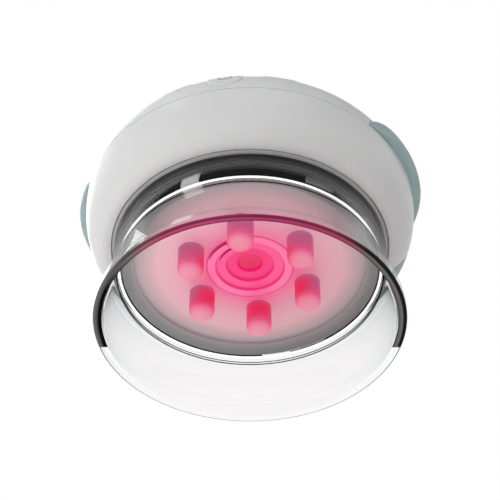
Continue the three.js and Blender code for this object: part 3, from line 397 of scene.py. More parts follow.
def lit_acrylic(name, base, glow, reach, roughness):
    """Frosted acrylic with the lamps' red light spread in it, strongest at the middle of the plate.

    base and glow are (distance in mm from the middle axis, hex colour) pairs up to reach, or one colour.
    """
    material, tree, shader, place = start_finish(name)
    share = add_node(tree, "MapRange", {"From Max": reach * MM}, {"Value": axis_distance(tree, place)})
    for socket, stops in (("Base Color", base), ("Emission Color", glow)):
        if isinstance(stops, str):
            shader.inputs[socket].default_value = linear(stops)
            continue
        ramp = add_node(tree, "ValToRGB", links={"Fac": share.outputs["Result"]})
        fill_ramp(ramp, [(distance / reach, code) for distance, code in stops])
        tree.links.new(ramp.outputs["Color"], shader.inputs[socket])
    shader.inputs["Emission Strength"].default_value = 1.0
    shader.inputs["Roughness"].default_value = roughness
    frost = add_node(tree, "TexNoise", {"Scale": 1 / (0.5 * MM), "Detail": 2.0}, {"Vector": place})
    relief = add_node(tree, "Bump", {"Strength": 1.0, "Distance": 0.01 * MM},
                      {"Height": frost.outputs["Fac"]})
    tree.links.new(relief.outputs["Normal"], shader.inputs["Normal"])
    return material


def paint_plate_spill(material):
    """Painted light: the plate's light spilling over the inner edge of the ring round it, painted on as a
    glow.
    """
    tree = material.node_tree
    shader = next(node for node in tree.nodes if node.bl_idname == "ShaderNodeBsdfPrincipled")
    place = add_node(tree, "TexCoord").outputs["Object"]
    share = add_node(tree, "MapRange", {"From Min": BEZEL_INNER * MM, "From Max": BEZEL_LIP * MM},
                     {"Value": axis_distance(tree, place)})
    spill = add_node(tree, "ValToRGB", links={"Fac": share.outputs["Result"]})
    fill_ramp(spill, [(0.0, "#645A5C"), (0.15, "#504A4C"), (0.4, "#343232"), (0.75, "#141414"),
                      (1.0, "#000000")])
    tree.links.new(spill.outputs["Color"], shader.inputs["Emission Color"])
    shader.inputs["Emission Strength"].default_value = 1.0


def silicone_post_painted_glow():
    """Translucent rose silicone with a painted glow, standing for the light from the plate's bright middle.

    A painted red glow sits half-way up the side that faces the middle, the foot is dull rose, and the tip is
    pale.
    """
    material, tree, shader, place = start_finish("rose_silicone_painted_glow")
    inwards = add_node(tree, "MapRange", {"From Min": (POST_CIRCLE - POST_RADIUS) * MM,
                                          "From Max": (POST_CIRCLE + POST_RADIUS) * MM},
                       {"Value": axis_distance(tree, place)})
    spread = add_node(tree, "SeparateXYZ", links={"Vector": place})
    upwards = add_node(tree, "MapRange", {"From Min": POST_TIP * MM, "From Max": PLATE_BOTTOM * MM},
                       {"Value": spread.outputs["Z"]})
    # The painted glow sits nearer the tip on the posts in front than on those behind.
    level = add_node(tree, "MapRange", {"From Min": -POST_CIRCLE * MM, "From Max": POST_CIRCLE * MM,
                                        "To Min": 0.24, "To Max": 0.74}, {"Value": spread.outputs["Y"]})
    above = add_node(tree, "Math", {"operation": "SUBTRACT"},
                     {0: upwards.outputs["Result"], 1: level.outputs["Result"]})
    beside = add_node(tree, "Math", {"operation": "MULTIPLY", 1: 0.75}, {0: inwards.outputs["Result"]})
    spot = add_node(tree, "CombineXYZ", links={"X": beside.outputs[0], "Y": above.outputs[0]})
    away = add_node(tree, "VectorMath", {"operation": "LENGTH"}, {0: spot.outputs[0]})
    painted_glow_spot = add_node(tree, "ValToRGB", links={"Fac": away.outputs["Value"]})
    fill_ramp(painted_glow_spot, [(0.0, "#FFFFFF"), (0.2, "#E4E4E4"), (0.42, "#909090"), (0.72, "#000000")])
    along = add_node(tree, "ValToRGB", links={"Fac": upwards.outputs["Result"]})
    fill_ramp(along, [(0.0, "#C47C8E"), (0.12, "#CC6488"), (0.28, "#C0466E"), (0.5, "#A8446A"),
                      (0.85, "#904668"), (1.0, "#985A76")])
    glow = add_node(tree, "Mix", {"data_type": "RGBA", 7: linear("#CE0038")},
                    {0: painted_glow_spot.outputs["Color"], 6: along.outputs["Color"]})
    tree.links.new(glow.outputs[2], shader.inputs["Emission Color"])
    skin = add_node(tree, "ValToRGB", links={"Fac": upwards.outputs["Result"]})
    fill_ramp(skin, [(0.0, "#B48894"), (0.18, "#944A60"), (0.4, "#8A4660"), (1.0, "#8C4C66")])
    tree.links.new(skin.outputs["Color"], shader.inputs["Base Color"])
    shader.inputs["Emission Strength"].default_value = 1.0
    shader.inputs["Roughness"].default_value = 0.42
    shader.inputs["Specular IOR Level"].default_value = 0.12
    skin_grain = add_node(tree, "TexNoise", {"Scale": 1 / (0.6 * MM), "Detail": 2.0}, {"Vector": place})
    relief = add_node(tree, "Bump", {"Strength": 1.0, "Distance": 0.012 * MM},
                      {"Height": skin_grain.outputs["Fac"]})
    tree.links.new(relief.outputs["Normal"], shader.inputs["Normal"])
    return material


# Making meshes

def make_piece(name, corners, faces):
    """A mesh object from corners in millimetres, with its faces turned outwards."""
    mesh = bpy.data.meshes.new(name)
    mesh.from_pydata([Vector(c) * MM for c in corners], [], faces)
    shape = bmesh.new()
    shape.from_mesh(mesh)
    bmesh.ops.recalc_face_normals(shape, faces=shape.faces)
    shape.to_mesh(mesh)
    shape.free()
    piece = bpy.data.objects.new(name, mesh)
    bpy.context.scene.collection.objects.link(piece)
    return piece


def dress(piece, finish, body, nodes=(), crease=32):
    """Gives a piece its finish and shading, ties it to its CAD body, and hides the CAD nodes it stands in
    for.
    """
    piece.data.materials.clear()
    piece.data.materials.append(finish)
    piece.data.shade_smooth()
    piece.data.set_sharp_from_angle(angle=math.radians(crease))
    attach(piece, body)
    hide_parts(*nodes)
    return piece


def carve(piece, *tools, how="DIFFERENCE"):
    """Cuts the tools out of a piece, or joins them to it, and removes the tools."""
    for tool in tools:
        change = piece.modifiers.new("carve", "BOOLEAN")
        change.operation = how
        change.solver = "EXACT"
        change.object = tool
    view = bpy.context.evaluated_depsgraph_get()
    carved = bpy.data.meshes.new_from_object(piece.evaluated_get(view))
    piece.modifiers.clear()
    piece.data = carved
    for tool in tools:
        bpy.data.objects.remove(tool)
    return piece


def rounded(outline, steps=5):
    """An outline of (radius, height) corners, where a third value rounds that corner."""
    smooth = []
    count = len(outline)
    for i, corner in enumerate(outline):
        here = Vector(corner[:2])
        if len(corner) < 3:
            smooth.append(tuple(here))
            continue
        back = (Vector(outline[i - 1][:2]) - here).normalized()
        ahead = (Vector(outline[(i + 1) % count][:2]) - here).normalized()
        half = back.angle(ahead) / 2
        centre = here + (back + ahead).normalized() * (corner[2] / math.sin(half))
        start = here + back * (corner[2] / math.tan(half)) - centre
        end = here + ahead * (corner[2] / math.tan(half)) - centre
        turn = start.angle_signed(end)
        for step in range(steps + 1):
            angle = -turn * step / steps
            smooth.append((centre.x + start.x * math.cos(angle) - start.y * math.sin(angle),
                           centre.y + start.x * math.sin(angle) + start.y * math.cos(angle)))
    return smooth


def turned(name, outline, columns=AROUND, middle=(0.0, 0.0, 0.0)):
    """An outline of (radius, height) pairs turned about an upright axis through the middle."""
    corners, rings = [], []
    for radius, height in outline:
        if radius < 1e-6:
            rings.append([len(corners)])
            corners.append((middle[0], middle[1], height))
            continue
        rings.append(range(len(corners), len(corners) + columns))
        for i in range(columns):
            angle = 2 * math.pi * i / columns
            corners.append((middle[0] + radius * math.cos(angle), middle[1] + radius * math.sin(angle),
                            height))
    pairs = list(zip(rings, rings[1:]))
    if len(rings[0]) > 1:
        pairs.append((rings[-1], rings[0]))
    return make_piece(name, corners, ring_faces(pairs))


def ring_faces(pairs):
    """Faces between pairs of rings of corners, where a ring of one corner is a point."""
    faces = []
    for low, high in pairs:
        count = max(len(low), len(high))
        for i in range(count):
            j = (i + 1) % count
            if len(low) == 1:
                faces.append((low[0], high[j], high[i]))
            elif len(high) == 1:
                faces.append((low[i], low[j], high[0]))
            else:
                faces.append((low[i], low[j], high[j], high[i]))
    return faces


def point_at(degrees, radius, height=0.0):
    """A point from its angle round the middle axis, its distance from it and its height."""
    turn = math.radians(degrees)
    return (radius * math.cos(turn), radius * math.sin(turn), height)


def sector(name, inner, outer, bottom, top, start, end, steps=24):
    """A piece of a ring between two angles in degrees, for cutting and joining."""
    corners = []
    for i in range(steps + 1):
        degrees = start + (end - start) * i / steps
        corners += [point_at(degrees, inner, bottom), point_at(degrees, outer, bottom),
                    point_at(degrees, outer, top), point_at(degrees, inner, top)]
    faces = [(0, 1, 2, 3), tuple(4 * steps + k for k in range(4))]
    for i in range(steps):
        for k in range(4):
            faces.append((4 * i + k, 4 * i + (k + 1) % 4, 4 * i + 4 + (k + 1) % 4, 4 * i + 4 + k))
    return make_piece(name, corners, faces)


def oval(middle, height, half_width, half_height):
    """A small oval outline, for turning a bead or an O-ring."""
    turns = [2 * math.pi * i / 20 for i in range(20)]
    return [(middle + half_width * math.cos(t), height + half_height * math.sin(t)) for t in turns]


def arc(centre, radius, start, end, steps):
    """Points of an arc in the outline's plane, from one angle in degrees to another."""
    points = []
    for i in range(steps + 1):
        angle = math.radians(start + (end - start) * i / steps)
        points.append((centre[0] + radius * math.cos(angle), centre[1] + radius * math.sin(angle)))
    return points


def edge_drop(distance, rounding):
    """How far a rounded edge falls away at a distance in from the edge."""
    if distance >= rounding:
        return 0.0
    return rounding - math.sqrt(max(rounding ** 2 - (rounding - distance) ** 2, 0.0))


def crowded(steps):
    """Shares from 0 to 1, closer together near both ends."""
    return [0.5 - 0.5 * math.cos(math.pi * i / steps) for i in range(steps + 1)]


def soft_pad(name, columns, rows, limits, front, back):
    """A closed pad: columns of points between two limits, with a front skin and a back skin."""
    shares = crowded(rows)
    corners = []
    for skin in (front, back):
        for column in columns:
            low, high = limits(column)
            corners += [skin(column, low + (high - low) * share) for share in shares]
    wide, tall = len(columns), rows + 1

    def at(skin, i, j):
        return skin * wide * tall + i * tall + j

    faces = []
    for i in range(wide - 1):
        for j in range(rows):
            faces.append((at(0, i, j), at(0, i + 1, j), at(0, i + 1, j + 1), at(0, i, j + 1)))
            faces.append((at(1, i, j), at(1, i, j + 1), at(1, i + 1, j + 1), at(1, i + 1, j)))
        for j in (0, rows):
            faces.append((at(0, i, j), at(0, i + 1, j), at(1, i + 1, j), at(1, i, j)))
    for j in range(rows):
        for i in (0, wide - 1):
            faces.append((at(0, i, j), at(0, i, j + 1), at(1, i, j + 1), at(1, i, j)))
    return make_piece(name, corners, faces)


# Forms of the body

SHOULDER_CENTRE = SEAM_RADIUS - SHOULDER_RADIUS
DOME_RADIUS = SHOULDER_RADIUS + SHOULDER_CENTRE / math.cos(math.radians(SHOULDER_DEGREES))
DOME_CENTRE = SEAM_HEIGHT - SHOULDER_CENTRE * math.tan(math.radians(SHOULDER_DEGREES))


def dome_outline(offset, first=0.0):
    """The upper shell's outline from near the seam to the crown, drawn in by an offset."""
    shoulder = arc((SHOULDER_CENTRE, SEAM_HEIGHT), SHOULDER_RADIUS - offset, first, SHOULDER_DEGREES, 30)
    crown = arc((0, DOME_CENTRE), DOME_RADIUS - offset, SHOULDER_DEGREES, 90, 30)
    return shoulder + crown[1:-1] + [(0.0, crown[-1][1])]


def dome_height(point):
    """How far a point lies outside the upper shell's surface."""
    out = math.hypot(point.x, point.y) - SHOULDER_CENTRE
    up = point.z - SEAM_HEIGHT
    if out > 0 and math.degrees(math.atan2(up, out)) < SHOULDER_DEGREES:
        return math.hypot(out, up) - SHOULDER_RADIUS
    return math.hypot(out + SHOULDER_CENTRE, point.z - DOME_CENTRE) - DOME_RADIUS


def bowl_radius(height, offset=0.0):
    """Radius of the lower shell's surface at a height, drawn in by an offset."""
    width = SEAM_RADIUS - OPENING_RADIUS - offset
    depth = SEAM_HEIGHT - BODY_BOTTOM - offset
    share = min(max((SEAM_HEIGHT - height) / depth, 0.0), 1.0)
    return OPENING_RADIUS + width * (1 - share ** BOWL_POWER) ** (1 / BOWL_POWER)


def bowl_outline(offset, steps=48):
    """The lower shell's outline from the opening up to the seam, drawn in by an offset."""
    width = SEAM_RADIUS - OPENING_RADIUS - offset
    depth = SEAM_HEIGHT - BODY_BOTTOM - offset
    points = []
    for i in range(steps + 1):
        angle = math.pi / 2 * (1 - i / steps)
        across = max(math.cos(angle), 0.0) ** (2 / BOWL_POWER)
        down = math.sin(angle) ** (2 / BOWL_POWER)
        points.append((OPENING_RADIUS + width * across, SEAM_HEIGHT - depth * down))
    return points


def press_point(x, rise, level):
    """A point given across, up along and out along the way that the buttons are pressed."""
    slope = math.radians(PRESS_DEGREES)
    return Vector((x, -SHOULDER_CENTRE + rise * math.sin(slope) - level * math.cos(slope),
                   SEAM_HEIGHT + rise * math.cos(slope) + level * math.sin(slope)))


def on_dome(x, rise, proud):
    """The point out along the buttons' travel that stands proud of the upper shell by an amount."""
    low, high = 0.0, 3 * SHOULDER_RADIUS
    for _ in range(40):
        middle = (low + high) / 2
        if dome_height(press_point(x, rise, middle)) < proud:
            low = middle
        else:
            high = middle
    return press_point(x, rise, low)


def stacked_rings(name, rings):
    """A closed piece from rings of points, one under the other; a ring of one point closes an end."""
    corners, places = [], []
    for ring in rings:
        places.append(range(len(corners), len(corners) + len(ring)))
        corners += ring
    return make_piece(name, corners, ring_faces(list(zip(places, places[1:]))))


def round_about(x, rise, radius, point):
    """A ring of points round a button's axis."""
    turns = [2 * math.pi * i / AROUND_SMALL for i in range(AROUND_SMALL)]
    return [point(x + radius * math.cos(t), rise + radius * math.sin(t)) for t in turns]


def button_hole(x, rise):
    """What is cut from the upper shell for a button: a round hole with a rounded mouth."""
    mouth = 0.3
    rings = [[press_point(x, rise, 0)]]
    rings.append(round_about(x, rise, BUTTON_HOLE, lambda a, b: press_point(a, b, 0)))
    for i in range(6):
        angle = math.pi / 2 * i / 5
        radius = BUTTON_HOLE + mouth * (1 - math.cos(angle))
        depth = -mouth * (1 - math.sin(angle))
        rings.append(round_about(x, rise, radius, lambda a, b: on_dome(a, b, depth)))
    rings.append(round_about(x, rise, BUTTON_HOLE + 2 * mouth, lambda a, b: on_dome(a, b, OVERRUN)))
    rings.append([on_dome(x, rise, OVERRUN)])
    return stacked_rings("button_hole", rings)


def turned_about(degrees, point):
    """A point carried round the middle axis."""
    return Matrix.Rotation(math.radians(degrees), 3, "Z") @ Vector(point)


def prism(name, front, back):
    """A closed piece between two outlines with as many points each."""
    count = len(front)
    faces = [tuple(range(count)), tuple(range(count, 2 * count))]
    faces += [(i, (i + 1) % count, count + (i + 1) % count, count + i) for i in range(count)]
    return make_piece(name, front + back, faces)


def grip_seat(degrees):
    """What is cut from the upper shell for a grip: its outline grown by the gap, one seat deep."""
    near, far = 20.0, 70.0
    block_foot, core_foot = SEAM_HEIGHT - 3.0, SEAM_HEIGHT - 6.0
    turns = [math.pi * i / 64 for i in range(65)]
    half, tall = GRIP_HALF_WIDTH + GRIP_GAP, GRIP_HEIGHT + GRIP_GAP
    outline = [(half * math.cos(t), SEAM_HEIGHT + tall * math.sin(t)) for t in turns]
    outline += [(-half, block_foot), (half, block_foot)]
    block = prism("grip_seat", *[[turned_about(degrees, (reach, y, z)) for y, z in outline]
                                 for reach in (near, far)])
    inner = dome_outline(GRIP_SEAT)
    core = turned("grip_seat_floor", [(0.0, core_foot), (inner[0][0], core_foot)] + inner)
    return carve(block, core)


# The pieces

def build_upper_shell():
    """The white dome, with its button holes and the seats of the grips."""
    outer = [(SEAM_RADIUS - UPPER_WALL, SEAM_HEIGHT + SEAM_GAP / 2)]
    outer.append((SEAM_RADIUS, SEAM_HEIGHT + SEAM_GAP / 2, MOULD_ROUND))
    rim = rounded(outer + [(SEAM_RADIUS, SEAM_HEIGHT + 1.0)])[1:-1]
    outline = [(0.0, dome_outline(UPPER_WALL)[-1][1])] + dome_outline(UPPER_WALL, 1.0)[:-1][::-1]
    outline += [outer[0]] + rim + dome_outline(0.0, 1.8)
    shell = turned("upper_shell_cover", outline)
    carve(shell, *[button_hole(x, rise) for x, rise in BUTTONS.values()])
    carve(shell, *[grip_seat(degrees) for degrees in GRIP_TURNS.values()])
    dress(shell, moulded_white_abs, "body", ["upper_shell"], crease=28)


def pad_limits(angle):
    """Lowest and highest point of the rear pad at an angle in degrees, with rounded lower corners."""
    along = math.radians(min(angle - PAD_START, 180 - PAD_START - angle)) * SEAM_RADIUS
    return PAD_BOTTOM + edge_drop(max(along, 0.0), PAD_CORNER), PAD_TOP


def flap_block(grow, inner=46.0, outer=60.0):
    """The flap's outline with rounded corners, seen from the back, as a prism for cutting."""
    half, tall, corner = FLAP_HALF_WIDTH + grow, FLAP_HALF_HEIGHT + grow, FLAP_CORNER + grow
    outline = []
    for quarter, (sx, sz) in enumerate(((1, 1), (-1, 1), (-1, -1), (1, -1))):
        centre = (sx * (half - corner), FLAP_MIDDLE + sz * (tall - corner))
        outline += arc(centre, corner, 90 * quarter, 90 * quarter + 90, 6)
    return prism("flap_block", *[[(x, y, z) for x, z in outline] for y in (inner, outer)])


def build_lower_shell():
    """The white bowl, with the seat of the rear pad and the hole behind the flap."""
    seam = SEAM_HEIGHT - SEAM_GAP / 2
    outer = bowl_outline(0.0)
    outline = rounded([
        (LIP_INNER, LIP_BOTTOM), (OPENING_RADIUS, LIP_BOTTOM), (OPENING_RADIUS, BODY_BOTTOM, MOULD_ROUND),
        (OPENING_RADIUS + 2.0, BODY_BOTTOM),
    ])[:-1]
    outline += [p for p in outer if p[0] > OPENING_RADIUS + 0.4 and p[1] < seam - MOULD_ROUND]
    outline += rounded([(SEAM_RADIUS, seam - 1.0), (SEAM_RADIUS, seam, MOULD_ROUND),
                        (SEAM_RADIUS - 1.0, seam)])[1:-1]
    inner = [p for p in bowl_outline(LOWER_WALL)[::-1] if p[1] < seam - 0.1]
    outline += [(SEAM_RADIUS - LOWER_WALL, seam)] + inner[:-1] + [(LIP_INNER, LIP_TOP)]
    shell = turned("lower_shell_bowl", outline)
    grow = math.degrees(FLAP_GAP / SEAM_RADIUS)
    angles = [PAD_START - grow + (180 - 2 * PAD_START + 2 * grow) * s for s in crowded(90)]
    seat = soft_pad(
        "rear_pad_seat", angles, 14,
        lambda a: (pad_limits(min(max(a, PAD_START), 180 - PAD_START))[0] - FLAP_GAP, PAD_TOP + OVERRUN),
        lambda a, z: point_at(a, SEAM_RADIUS + 2 * OVERRUN, z),
        lambda a, z: point_at(a, bowl_radius(z, PAD_THICKNESS + FLAP_GAP), z),
    )
    carve(shell, seat)
    carve(shell, flap_block(FLAP_GAP))
    dress(shell, moulded_white_abs, "body", ["lower_shell"], crease=28)


def build_seat_ring():
    """The light grey ring that the cup's upper end turns against; part of its grey is painted shade."""
    outline = rounded([
        (SEAT_INNER, SEAT_BOTTOM, MOULD_ROUND), (SEAT_OUTER, SEAT_BOTTOM, MOULD_ROUND),
        (SEAT_OUTER, SEAT_TOP), (SEAT_INNER, SEAT_TOP),
    ])
    dress(turned("seat_ring_trim", outline), light_grey_abs_painted_shade, "body", ["seat_ring"])


def grip_front(y, height):
    """A point on the grip's own bulging surface."""
    angle = math.asin(min((height - GRIP_BOTTOM) / GRIP_RISE, 1.0))
    radius = GRIP_RADIUS - GRIP_RISE * (1 - math.cos(angle))
    return GRIP_SET_OUT + math.sqrt(max(radius ** 2 - y ** 2, 0.0))


def shell_x(y, height, offset):
    """How far out the upper shell's surface is at a place on the side, drawn in by an offset."""
    up = max(height - SEAM_HEIGHT, 0.0)
    radius = SHOULDER_CENTRE + math.sqrt(max((SHOULDER_RADIUS - offset) ** 2 - up ** 2, 0.0))
    return math.sqrt(max(radius ** 2 - y ** 2, 0.0))


def build_grip(name, degrees):
    """A soft grip: a half-oval pad that bulges past the dome, with a rounded edge and a flat foot."""
    edge, under = 0.8, 0.8
    foot_rise = (GRIP_BOTTOM - SEAM_HEIGHT) / GRIP_HEIGHT
    last = GRIP_HALF_WIDTH * math.sqrt(1 - foot_rise ** 2) - 0.05
    columns = [last * (2 * share - 1) for share in crowded(120)]

    def limits(y):
        rise = GRIP_HEIGHT * math.sqrt(max(1 - (y / GRIP_HALF_WIDTH) ** 2, 0.0))
        return GRIP_BOTTOM, SEAM_HEIGHT + rise

    def front(y, z):
        up = z - SEAM_HEIGHT
        reach = math.hypot(y / GRIP_HALF_WIDTH, up / GRIP_HEIGHT)
        steep = math.hypot(y / GRIP_HALF_WIDTH ** 2, up / GRIP_HEIGHT ** 2) / max(reach, 1e-6)
        drop = edge_drop(max((1 - reach) / steep, 0.0), edge)
        drop = max(drop, edge_drop(z - GRIP_BOTTOM, under))
        x = max(grip_front(y, z) - drop, shell_x(y, z, GRIP_BACK - 0.3))
        return turned_about(degrees, (x, y, z))

    def back(y, z):
        return turned_about(degrees, (shell_x(y, z, GRIP_BACK), y, z))

    grip = soft_pad(name + "_pad", columns, 40, limits, front, back)
    dress(grip, teal_silicone, "body", [name], crease=50)


def build_rear_pad():
    """The soft panel round the back of the bowl, flush with it, with the flap's opening."""
    edge = 0.5
    angles = [PAD_START + (180 - 2 * PAD_START) * share for share in crowded(180)]

    def front(angle, z):
        low, high = pad_limits(angle)
        along = math.radians(min(angle - PAD_START, 180 - PAD_START - angle)) * SEAM_RADIUS
        drop = edge_drop(max(min(along, z - low, high - z), 0.0), edge)
        return point_at(angle, bowl_radius(z) - drop, z)

    def back(angle, z):
        return point_at(angle, bowl_radius(z, PAD_THICKNESS), z)

    pad = soft_pad("rear_pad_skin", angles, 24, pad_limits, front, back)
    carve(pad, flap_block(FLAP_GAP))
    dress(pad, teal_silicone, "body", ["rear_pad"], crease=40)


def build_flap():
    """The soft flap over the charging socket, with a nick for a fingernail at its free end."""
    edge = 0.45
    columns = [FLAP_HALF_WIDTH * (2 * share - 1) for share in crowded(48)]

    def limits(x):
        half = FLAP_HALF_HEIGHT - edge_drop(max(FLAP_HALF_WIDTH - abs(x), 0.0), FLAP_CORNER)
        return FLAP_MIDDLE - half, FLAP_MIDDLE + half

    def skin(x, z, offset):
        return (x, math.sqrt(bowl_radius(z, offset) ** 2 - x ** 2), z)

    def front(x, z):
        low, high = limits(x)
        drop = edge_drop(max(min(FLAP_HALF_WIDTH - abs(x), z - low, high - z), 0.0), edge)
        reach = ((x - FLAP_HALF_WIDTH) / NICK_LENGTH) ** 2 + ((z - FLAP_MIDDLE) / NICK_HALF_HEIGHT) ** 2
        return skin(x, z, drop + NICK_DEPTH * max(0.0, 1 - reach) - FLAP_PROUD)

    flap = soft_pad("port_cover_flap", columns, 20, limits, front, lambda x, z: skin(x, z, FLAP_THICKNESS))
    dress(flap, teal_silicone, "cover", ["port_cover"], crease=40)


def build_neck():
    """The dark neck: a closed cap with a seal groove and three L-shaped bayonet slots."""
    groove = NECK_RADIUS - SEAL_GROOVE_DEPTH
    seat, lip = BEAD_RADIUS - BEAD_SEAT, BEZEL_OUTER_HEIGHT + 0.3
    outline = rounded([
        (STEM_HOLE, NECK_PLATE), (NECK_INNER, NECK_PLATE), (NECK_INNER, lip), (seat, lip),
        (seat, BEAD_HEIGHT), (NECK_RADIUS, BEAD_HEIGHT),
        (NECK_RADIUS, SEAL_GROOVE_BOTTOM, 0.15), (groove, SEAL_GROOVE_BOTTOM),
        (groove, SEAL_GROOVE_TOP), (NECK_RADIUS, SEAL_GROOVE_TOP, 0.15), (NECK_RADIUS, NECK_SHOULDER, 0.3),
        (NECK_RADIUS - NECK_STEP, NECK_SHOULDER), (NECK_RADIUS - NECK_STEP, NECK_TOP), (STEM_HOLE, NECK_TOP),
    ])
    neck = turned("light_housing_neck", outline)
    floor, past = CUP_NECK_INNER - LUG_REACH - SLOT_DEPTH_GAP, NECK_RADIUS + OVERRUN
    half = LUG_HALF_DEGREES + SLOT_SIDE_DEGREES
    low, top = LUG_BOTTOM - SLOT_GAP, LUG_BOTTOM + LUG_HEIGHT + SLOT_GAP
    for angle in LUG_ANGLES:
        open_end = angle + TWIST_DEGREES
        carve(neck, sector("slot", floor, past, low, top, angle - half, open_end + half))
        carve(neck, sector("slot_mouth", floor, past, NECK_BOTTOM - OVERRUN, top - 0.01, open_end - half,
                           open_end + half - 0.01))
    edge = neck.modifiers.new("edge", "BEVEL")
    edge.width = NECK_EDGE * MM
    edge.segments = 2
    edge.limit_method = "ANGLE"
    edge.angle_limit = math.radians(50)
    dress(carve(neck), gloss_black_polycarbonate, "body", ["light_housing"])


def build_bead():
    """The bead that trims the neck's lower edge, made bright by a painted highlight."""
    outline = oval(BEAD_RADIUS, BEAD_HEIGHT, BEAD_THICKNESS, BEAD_THICKNESS)
    dress(turned("neck_edge_bead", outline), bead_painted_highlight, "body")


def build_seal():
    """The O-ring, half-way between the groove's floor and the cup's neck."""
    middle = (NECK_RADIUS - SEAL_GROOVE_DEPTH + CUP_NECK_INNER) / 2
    height = (SEAL_GROOVE_BOTTOM + SEAL_GROOVE_TOP) / 2
    outline = oval(middle, height, SEAL_HALF_WIDTH, SEAL_HALF_HEIGHT)
    dress(turned("cup_seal_ring", outline), nitrile_rubber, "body", ["cup_seal"])


def build_bezel():
    """The grey cone round the plate, which holds the plate's edge."""
    top = PLATE_BOTTOM - BEZEL_GAP
    outline = rounded([
        (BEZEL_INNER, BEZEL_INNER_HEIGHT, 0.12), (BEZEL_LIP, BEZEL_LIP_HEIGHT, 0.1),
        (BEZEL_LIP, BEZEL_LIP_HEIGHT + BEZEL_LIP_THICKNESS), (LIT_RADIUS, BEZEL_OUTER_HEIGHT + 0.2),
        (LIT_RADIUS, top), (BEZEL_INNER, top, 0.1),
    ])
    # Painted light: the plate's glow is painted onto the ring's inner edge.
    paint_plate_spill(satin_grey_abs_painted_glow)
    dress(turned("bezel_ring_trim", outline), satin_grey_abs_painted_glow, "body", ["bezel_ring"])


def build_plate():
    """The frosted plate, with holes for the posts and the port."""
    outline = rounded([
        (PLATE_HOLE, PLATE_BOTTOM, 0.15), (LIT_RADIUS, PLATE_BOTTOM, 0.15),
        (LIT_RADIUS, PLATE_TOP), (PLATE_HOLE, PLATE_TOP),
    ])
    plate = turned("light_disc_plate", outline)
    radius, low, high = POST_RADIUS + POST_HOLE_GAP, PLATE_BOTTOM - 1, PLATE_TOP + 1
    hole = [(0.0, low), (radius, low), (radius, high), (0.0, high)]
    carve(plate, *[turned("post_hole", hole, AROUND_SMALL, point_at(degrees, POST_CIRCLE))
                   for degrees in POST_ANGLES])
    # Towards the edge both ramps grey and darken: painted shade next to the ring round the plate.
    base = [(0, "#D07A96"), (14, "#D4869E"), (18, "#DCA4B4"), (22, "#DDB4C0"), (30, "#CDB8BE"),
            (36, "#A8A0A2"), (39.9, "#858384")]
    glow = [(14, "#A8456C"), (16, "#A6476C"), (18, "#95576F"), (22, "#93616F"), (26, "#9B6C78"),
            (30, "#9A6D72"), (33, "#88686C"), (36, "#746A6C"), (38.5, "#585656")]
    finish = lit_acrylic("lit_frosted_acrylic", base, glow, 40.0, 0.42)
    dress(plate, finish, "body", ["light_disc"])


def build_posts():
    """Six round-tipped posts, each held behind the plate by a flange."""
    finish = silicone_post_painted_glow()
    outline = []
    for i in range(19):
        angle = math.pi / 2 * i / 18
        across = POST_RADIUS * math.sin(angle) ** (2 / POST_POWER)
        down = max(math.cos(angle), 0.0) ** (2 / POST_POWER)
        outline.append((across, POST_TIP + POST_DOME * (1 - down)))
    flange = PLATE_TOP + POST_FLANGE_GAP
    outline += [(POST_RADIUS, flange - 2 + 0.4 * i) for i in range(6)]
    outline += [(POST_FLANGE, flange), (POST_FLANGE, flange + POST_FLANGE_THICKNESS),
                (0.0, flange + POST_FLANGE_THICKNESS)]
    for i, degrees in enumerate(POST_ANGLES):
        post = turned(f"massage_post_{i + 1}", outline, AROUND_SMALL, point_at(degrees, POST_CIRCLE))
        dress(post, finish, "body", [f"post_{i + 1}"], crease=40)


